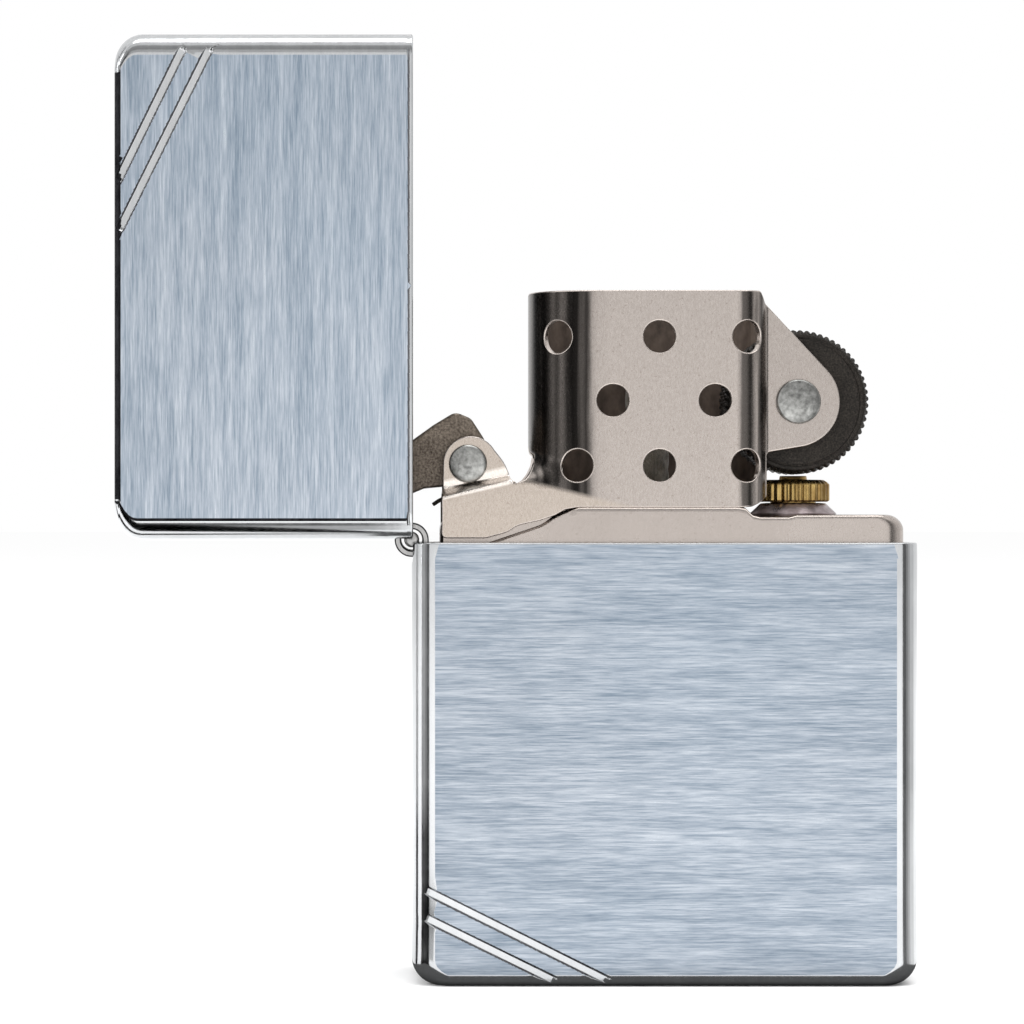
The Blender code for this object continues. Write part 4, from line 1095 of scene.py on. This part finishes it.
outline = spaced([*rise, *side, *foot, *cam_ear, *skirt, *wheel_ear, (SEAM, 52.3)], 0.3)

PIERCED = 1.22
rows = (48.8, 44.0, 39.1)
front_holes = [
    (flat_bend(-8.1), rows[0]), (-0.4, rows[0]), (flat_corner(6.3), rows[0]), (-3.9, rows[1]), (3.8, rows[1]),
    (flat_bend(-6.6), rows[2]), (-0.4, rows[2]), (flat_corner(6.2), rows[2]),
]
back_holes = [
    (-3.9, rows[0]), (3.8, rows[0]), (flat_bend(-8.1), rows[1]), (-0.4, rows[1]), (flat_corner(6.3), rows[1]),
    (-3.3, rows[2]), (3.1, rows[2]),
]
RIVET_HOLE = 1.25
axles = ((flat_ear(CAM_X), CAM_Z), (flat_corner(TUBE_X), WHEEL_Z))
rivet_holes = [ring(x, z, RIVET_HOLE, 24) for x, z in axles]


def guard_seam(a, b):
    return abs(a[0] - SEAM) < 1e-6 and abs(b[0] - SEAM) < 1e-6


def back_place(flat):
    return guard_place(flat) * (1, -1, 1)


fold_lines = []
for share in np.linspace(0, 1, 9):
    x = np.linspace(-16.6, -11.0, 24)
    low, high = fold_band(x)
    line = np.array([(flat_ear(a), b) for a, b in zip(x, low + share * (high - low))])
    within = inside(line, outline) & (distance_to(line, [*outline, outline[0]]) > 0.15)
    fold_lines.append(line[within])

shape = Shape()
for place, holes, flip in ((guard_place, front_holes, False), (back_place, back_holes, True)):
    pierced = [ring(x, z, PIERCED, 40) for x, z in holes]
    sheet(shape, outline, pierced + rivet_holes, place, 0.46, 0.1, 0.3, seam=guard_seam,
          lines=fold_lines, inner_slot=1, edge_slot=2, flip=flip)
guard_piece = shape.build("wind_guard", [GUARD, SOOT_AND_PAINTED_SHADE, EDGE_PAINTED_HIGHLIGHT])
fit(guard_piece, "insert", "nickel_sheet", "chimney")

# Cam and its rivet and spring

loop = arc((0, 0), 2.0, -125, 20, 22) + eased([
    (1.92, 0.9, 0), (1.15, 2.05, 0.5), (0.25, 3.45, 0.9), (-0.95, 3.95, 0.9), (-2.6, 2.95, 0.8),
    (-4.2, 1.8, 1.0), (-5.9, 0.4, 1.2), (-7.2, -1.6, 1.2), (-7.5, -3.2, 0.7), (-6.9, -4.0, 0.5),
    (-5.9, -3.3, 0.7), (-4.9, -2.5, 0.7), (-3.3, -1.85, 0.8), (-1.3, -1.6, 0),
])[1:-1]


def cam_place(flat):
    u, v = flat.T
    return np.stack((u + CAM_X, np.full(len(u), -CAM_WIDE / 2), v + CAM_Z), axis=1)


cut_from_sheet("cam_steel_lobe", CAM_STEEL, spaced(loop, 0.25), [ring(0, 0, 1.3, 24)], cam_place,
               CAM_WIDE, 0.22, 0.5, ("cam", "dark_steel", "cam"))


def rivet(name, centre, head, ear, replaced):
    """A rivet through two ears, each end spread to a shallow dished head."""
    near, far = ear + 0.12, ear + 0.58
    half = [
        (0, far + 0.08, 0), (0.35 * head, far + 0.06, 0.3), (0.7 * head, far - 0.02, 0.2),
        (0.93 * head, far - 0.14, 0.1), (head, near + 0.16, 0.1), (0.97 * head, near, 0.05), (1.0, near, 0),
    ]
    half.reverse()
    turned(name, RIVET_STEEL, mirrored(half) + half, centre, 64, ("insert", "bright_steel", replaced), "Y")


rivet("cam_rivet_steel", (CAM_X, 0, CAM_Z), 1.45, 3.9, "cam_rivet")
rivet("wheel_rivet_steel", (TUBE_X, 0, WHEEL_Z), 1.7, 3.7, "wheel_rivet")

bend = arc((-11.1, 36.12), 0.32, -90, 90, 10)
spring_path = np.array([
    (-16.0, 35.8), (-13.5, 35.8), *bend, (-13.0, 36.52), (-15.2, 36.62), (-16.1, 36.58), (-16.8, 36.4),
    (-17.4, 36.0),
])
lengths = np.concatenate(([0], np.cumsum(np.linalg.norm(np.diff(spring_path, axis=0), axis=1))))


def spring_place(flat):
    u, v = flat.T
    x, z = np.interp(u, lengths, spring_path[:, 0]), np.interp(u, lengths, spring_path[:, 1])
    return np.stack((x, v, z), axis=1)


tip = lengths[-1]
spring_half = [(0.1, -2.3, 0.3), (tip - 1.6, -2.3, 0.6), (tip - 0.05, -1.1, 0.4)]
spring_loop = eased(spring_half + mirrored(spring_half))
cut_from_sheet("cam_leaf_spring", SPRING_STEEL, spaced(spring_loop, 0.3), [], spring_place,
               0.3, 0.08, 0.3, ("insert", "dark_steel", "cam_spring"))

# Flint wheel, collar, washer and flint


def toothed(angles, radius, height):
    """Fine teeth cut across the rim on two crossing slants."""
    if radius < 5.2:
        return np.full(len(angles), radius)
    teeth = 64
    one = np.abs(np.sin(teeth * angles / 2 + 1.3 * height))
    other = np.abs(np.sin(teeth * angles / 2 - 1.3 * height))
    return radius - 0.24 * (1 - np.minimum(one, other)) ** 1.5


rim_heights = [(5.48, h, 0) for h in np.linspace(-2.45, 2.45, 19)]
wheel_profile = [
    (1.32, -2.62, 0), (1.9, -2.62, 0.05), (2.0, -2.86, 0.08), (4.72, -2.88, 0.04), (4.82, -2.8, 0.04),
    (4.95, -2.88, 0.04), (5.15, -2.84, 0.1), *rim_heights,
]
wheel_profile += [*mirrored(wheel_profile[:7]), (1.32, -2.62, 0)]
turned("spark_wheel", WHEEL_STEEL, wheel_profile, (TUBE_X, 0, WHEEL_Z), 832,
       ("flint_wheel", "dark_steel", "flint_wheel"), "Y", toothed)


def fluted(angles, radius, height):
    if radius < 2.5:
        return np.full(len(angles), radius)
    return radius - 0.17 * (0.5 + 0.5 * np.cos(28 * angles)) ** 1.4


collar_profile = [
    (2.02, 36.38, 0), (2.62, 36.38, 0.05), (2.78, 36.5, 0.05), (2.78, 37.72, 0.08), (2.58, 37.9, 0.05),
    (2.32, 38.06, 0.06), (1.08, 38.06, 0.05), (1.02, 38.36, 0.05), (0.9, 38.36, 0), (0.9, 37.6, 0),
    (2.02, 37.6, 0), (2.02, 36.38, 0),
]
turned("fluted_collar", BRASS, collar_profile, (TUBE_X, 0, 0), 224,
       ("insert", "brass", "tube_collar"), radius_at=fluted)

washer_profile = [
    (2.02, 35.24, 0), (3.24, 35.24, 0.04), (3.29, 35.5, 0.05), (2.5, 36.26, 0.08), (2.02, 36.3, 0),
    (2.02, 35.24, 0),
]
turned("cone_washer", WASHER_STEEL, washer_profile, (TUBE_X, 0, 0), 96,
       ("insert", "bright_steel", "tube_washer"))


GRIND_RADIUS = 5.72


def worn(points, place=True):
    """The flint's top follows the wheel that grinds it."""
    if not place:
        return points
    x, y, z = points.T
    wheel = WHEEL_Z - np.sqrt(GRIND_RADIUS**2 - (x - TUBE_X) ** 2)
    return np.stack((x, y, np.minimum(z, wheel)), axis=1)


flint_profile = [(0, 33.22, 0), (0.7, 33.22, 0.1), (0.82, 33.35, 0.1), (0.82, 37.9, 0), (0.82, 38.5, 0),
                 *[(radius, 38.6, 0) for radius in (0.7, 0.5, 0.25, 0)]]
turned("flint_rod", FLINT, flint_profile, (TUBE_X, 0, 0), 48,
       ("flint_plunger", "flint_stone", "flint"), move=worn)


def coil():
    """The flint's spring, with its end turns closed up."""
    wire, turns, sides, steps = 0.22, 16, 12, 32
    low, high = (corner.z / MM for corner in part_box("flint_spring"))
    radius = (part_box("flint_spring")[1].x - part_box("flint_spring")[0].x) / MM / 2 - wire
    turn = np.linspace(0, turns, turns * steps + 1)
    rise = high - low - 2 * wire
    height = low + wire + np.interp(turn, (0, 1, turns - 1, turns), (0, 2 * wire, rise - 2 * wire, rise))
    angle = math.tau * turn
    axis = np.stack((radius * np.cos(angle) + TUBE_X, radius * np.sin(angle), height), axis=1)
    along = np.gradient(axis, axis=0)
    along /= np.linalg.norm(along, axis=1, keepdims=True)
    out = np.stack((np.cos(angle), np.sin(angle), 0 * angle), axis=1)
    up = np.cross(out, along)
    rounds = np.linspace(0, math.tau, sides, endpoint=False)
    normals = (out[:, None] * np.cos(rounds)[:, None] + up[:, None] * np.sin(rounds)[:, None]).reshape(-1, 3)
    points = np.repeat(axis, sides, axis=0) + wire * normals
    shape = Shape()
    shape.add(points, normals, tube_faces(len(axis), sides))
    for end, way in ((0, -1), (len(axis) - 1, 1)):
        cut_face = tuple(range(sides))[::way]
        facing = np.tile(way * along[end], (sides, 1))
        shape.add(points[end * sides:(end + 1) * sides], facing, [cut_face])
    piece = shape.build("flint_coil", [BRIGHT_STEEL])
    fit(piece, "insert", "bright_steel", "flint_spring")
    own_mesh(piece)


coil()

# Wick, cotton and felt


def braided(angles, radius, height):
    """Strands that cross round the cord."""
    if radius < 1.0:
        return np.full(len(angles), radius)
    one = np.abs(np.sin(3 * angles + 2.1 * height))
    other = np.abs(np.sin(3 * angles - 2.1 * height))
    return radius * (0.86 + 0.14 * np.maximum(one, other) ** 0.7)


wick_profile = [(0, 6.02, 0), (1.2, 6.05, 0), *[(1.68, h, 0) for h in np.arange(6.4, 45.3, 0.25)],
                (1.5, 45.6, 0), (1.15, 45.9, 0), (0.7, 45.98, 0), (0, 46.0, 0)]
turned("wick_braid", WICK, wick_profile, (WICK_X, 0, 0), 48, ("insert", "cotton", "wick"), radius_at=braided)


def wad(name, seed):
    """A cotton wad pressed into its space: a squarish lump with creases and tufts."""
    low, high = (np.array(corner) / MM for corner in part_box(name))
    centre, half = (low + high) / 2, (high - low) / 2
    around, rings = 72, 40
    theta = np.linspace(0, math.tau, around, endpoint=False)
    phi = np.linspace(0, math.pi, rings + 1)[1:-1]
    t, f = (g.ravel() for g in np.meshgrid(theta, phi))

    def pressed(value):
        return np.sign(value) * np.abs(value) ** 0.58

    out = pressed(np.sin(f))
    ball = np.stack((out * pressed(np.cos(t)), out * pressed(np.sin(t)), -pressed(np.cos(f))), axis=1)
    ball = np.concatenate((ball, [(0, 0, -1), (0, 0, 1)]))
    rng = np.random.default_rng(seed)
    lump = np.zeros(len(ball))
    for _ in range(24):
        way = rng.normal(size=3)
        lump += np.abs(np.sin(ball @ way * rng.uniform(1.5, 5) + rng.uniform(0, 6))) * rng.uniform(0.3, 1)
    lump = (lump - lump.min()) / (lump.max() - lump.min())
    points = centre + ball * half * (1 - 0.09 * (1 - lump))[:, None]
    count = rings - 1
    faces = tube_faces(count, around)
    for j in range(around):
        k = (j + 1) % around
        faces.append((count * around, k, j))
        faces.append((count * around + 1, (count - 1) * around + j, (count - 1) * around + k))
    mesh = bpy.data.meshes.new(f"wad_{seed}")
    mesh.from_pydata(points * MM, [], faces)
    mesh.materials.append(COTTON)
    mesh.shade_smooth()
    piece = placed(f"cotton_wad_{seed}", mesh)
    fit(piece, "insert", "cotton", name)


for number in range(1, 6):
    wad(f"cotton_ball_{number}", number)


FELT_TOP, FELT_THICK = 3.84, 1.86


def felt_place(flat):
    x, y = flat.T
    broad = np.sin(5.1 * x + 1.3 * y) * np.sin(4.3 * y - 0.7 * x)
    return np.stack((x, y, FELT_TOP + 0.03 * broad + 0.03 * np.sin(11 * x) * np.sin(13 * y)), axis=1)


low, high = (Vector(corner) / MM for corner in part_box("felt_pad"))
left, right, front, back = low.x + 0.02, high.x - 0.02, low.y + 0.02, high.y - 0.02
felt_loop = eased([(left, front, 1.0), (right, front, 1.0), (right, back, 1.0), (left, back, 1.0)], 8)
felt_piece = cut_from_sheet("felt", FELT, spaced(felt_loop, 0.4), [ring(TUBE_X, 0, 2.67)], felt_place,
                            FELT_THICK, 0.3, 0.35, ("insert", "felt", "felt_pad"))

for name, better in (("flint_tube", BRASS), ("flint_spring_tip", BRASS), ("flint_screw", BRASS)):
    for material_slot in nodes[name].material_slots:
        material_slot.material = better

# Stage, lights and camera


def paper(name, rows, grey, paint):
    """A sheet of matt paper through rows of points."""
    wide = len(rows[0])
    starts = [wide * i + k for i in range(len(rows) - 1) for k in range(wide - 1)]
    points = [point for row in rows for point in row]
    faces = [(i, i + 1, i + wide + 1, i + wide) for i in starts]
    shape = Shape()
    shape.add(points, np.tile((0, 0, 1.0), (len(points), 1)), faces)
    matt = material(paint, 0.0, Base_Color=(grey, grey, grey, 1), Roughness=0.95, Specular_IOR_Level=0.0)
    made = shape.build(name, [matt])
    made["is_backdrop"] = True
    return made


def card(name, rows, grey):
    """A card that only reflections see."""
    made = paper(name, rows, grey, f"{name}_paint")
    made.visible_camera = made.visible_diffuse = made.visible_shadow = False


def upright(name, side, near, far, grey, distance=150, height=220):
    """A card that stands in an arc round one of the case's front corners and runs along the floor up to it.
    Azimuths are in degrees away from the camera, towards the side's sign in X."""
    rows = []
    for turn in np.radians(np.linspace(near, far, 9)):
        row = []
        for reach, level in ((0.2, 0.04), (distance, 0.04), (distance, height)):
            x, y = case.flat_x + reach * math.sin(turn), -case.flat_y - reach * math.cos(turn)
            row.append((side * x, y, level))
        rows.append(row)
    card(name, rows, grey)


# Height of the open lid's long edge, between its front corners
LID_EDGE_Z = 69.8


def overhead(name, near, far, grey, distance=150, half=170):
    """A card arched over the lid's long edge, between two elevations seen from there."""
    rows = []
    for turn in np.radians(np.linspace(near, far, 9)):
        y, z = -lid.flat_y - distance * math.cos(turn), LID_EDGE_Z + distance * math.sin(turn)
        rows.append([(-half, y, z), (half, y, z)])
    card(name, rows, grey)


def laid(name, left, right, front, back, grey, level):
    """A card lying on the floor."""
    card(name, [[(left, y, level), (right, y, level)] for y in (front, back)], grey)


FLOOR = 6000
paper("floor", [[(-FLOOR, y, 0), (FLOOR, y, 0)] for y in (-FLOOR, FLOOR)], 0.98, "floor_paper")
upright("flag_left", -1, 28, 40, 0.12)
upright("grey_left", -1, 40, 50, 0.3)
upright("shade_left", -1, 50, 70, 0.48)
upright("pale_left", -1, 92, 108, 0.7)
upright("flag_right", 1, 36, 55, 0.12)
upright("grey_right", 1, 55, 67, 0.3)
upright("shade_right", 1, 67, 79, 0.5)
upright("pale_right", 1, 79, 105, 0.7)
overhead("pale_above", 20, 33, 0.5)
overhead("grey_above", 33, 57, 0.25)
overhead("shade_above", 57, 78, 0.5)
overhead("pale_behind", 105, 140, 0.7)
laid("flag_below", -46, -20, -64, -40, 0.12, 0.03)
laid("grey_below", -46, -20, -40, -19, 0.4, 0.03)
laid("foot_shade", -22.5, 22.5, -9.6, 9.6, 0.1, 0.05)


def area(name, place, size, power, towards=(0, 0, 0.035)):
    data = bpy.data.lights.new(name, "AREA")
    data.shape = "RECTANGLE"
    data.size, data.size_y = size
    data.energy = power
    light = placed(name, data)
    light.location = place
    light.rotation_euler = (Vector(towards) - Vector(place)).to_track_quat("-Z", "Y").to_euler()
    light.visible_camera = False


area("softbox_top", (0.1, -0.2, 0.9), (0.8, 0.8), 6)
area("softbox_left", (-0.8, -0.5, 0.35), (0.5, 0.8), 5)

world = bpy.data.worlds.new("studio")
bpy.context.scene.world = world
world.use_nodes = True
world.node_tree.nodes["Background"].inputs["Color"].default_value = (1, 1, 1, 1)
world.node_tree.nodes["Background"].inputs["Strength"].default_value = 1.0

view = bpy.data.cameras.new("camera")
view.sensor_width = 36
view.lens = 122.8
view.shift_x = 0.096
view.clip_start, view.clip_end = 0.01, 20
camera = placed("camera", view)
camera.location = (-0.0189, -0.268, 0.0356)
camera.rotation_euler = (math.radians(90), 0, 0)
bpy.context.scene.camera = camera
bpy.context.scene.view_settings.view_transform = "Standard"

low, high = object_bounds()
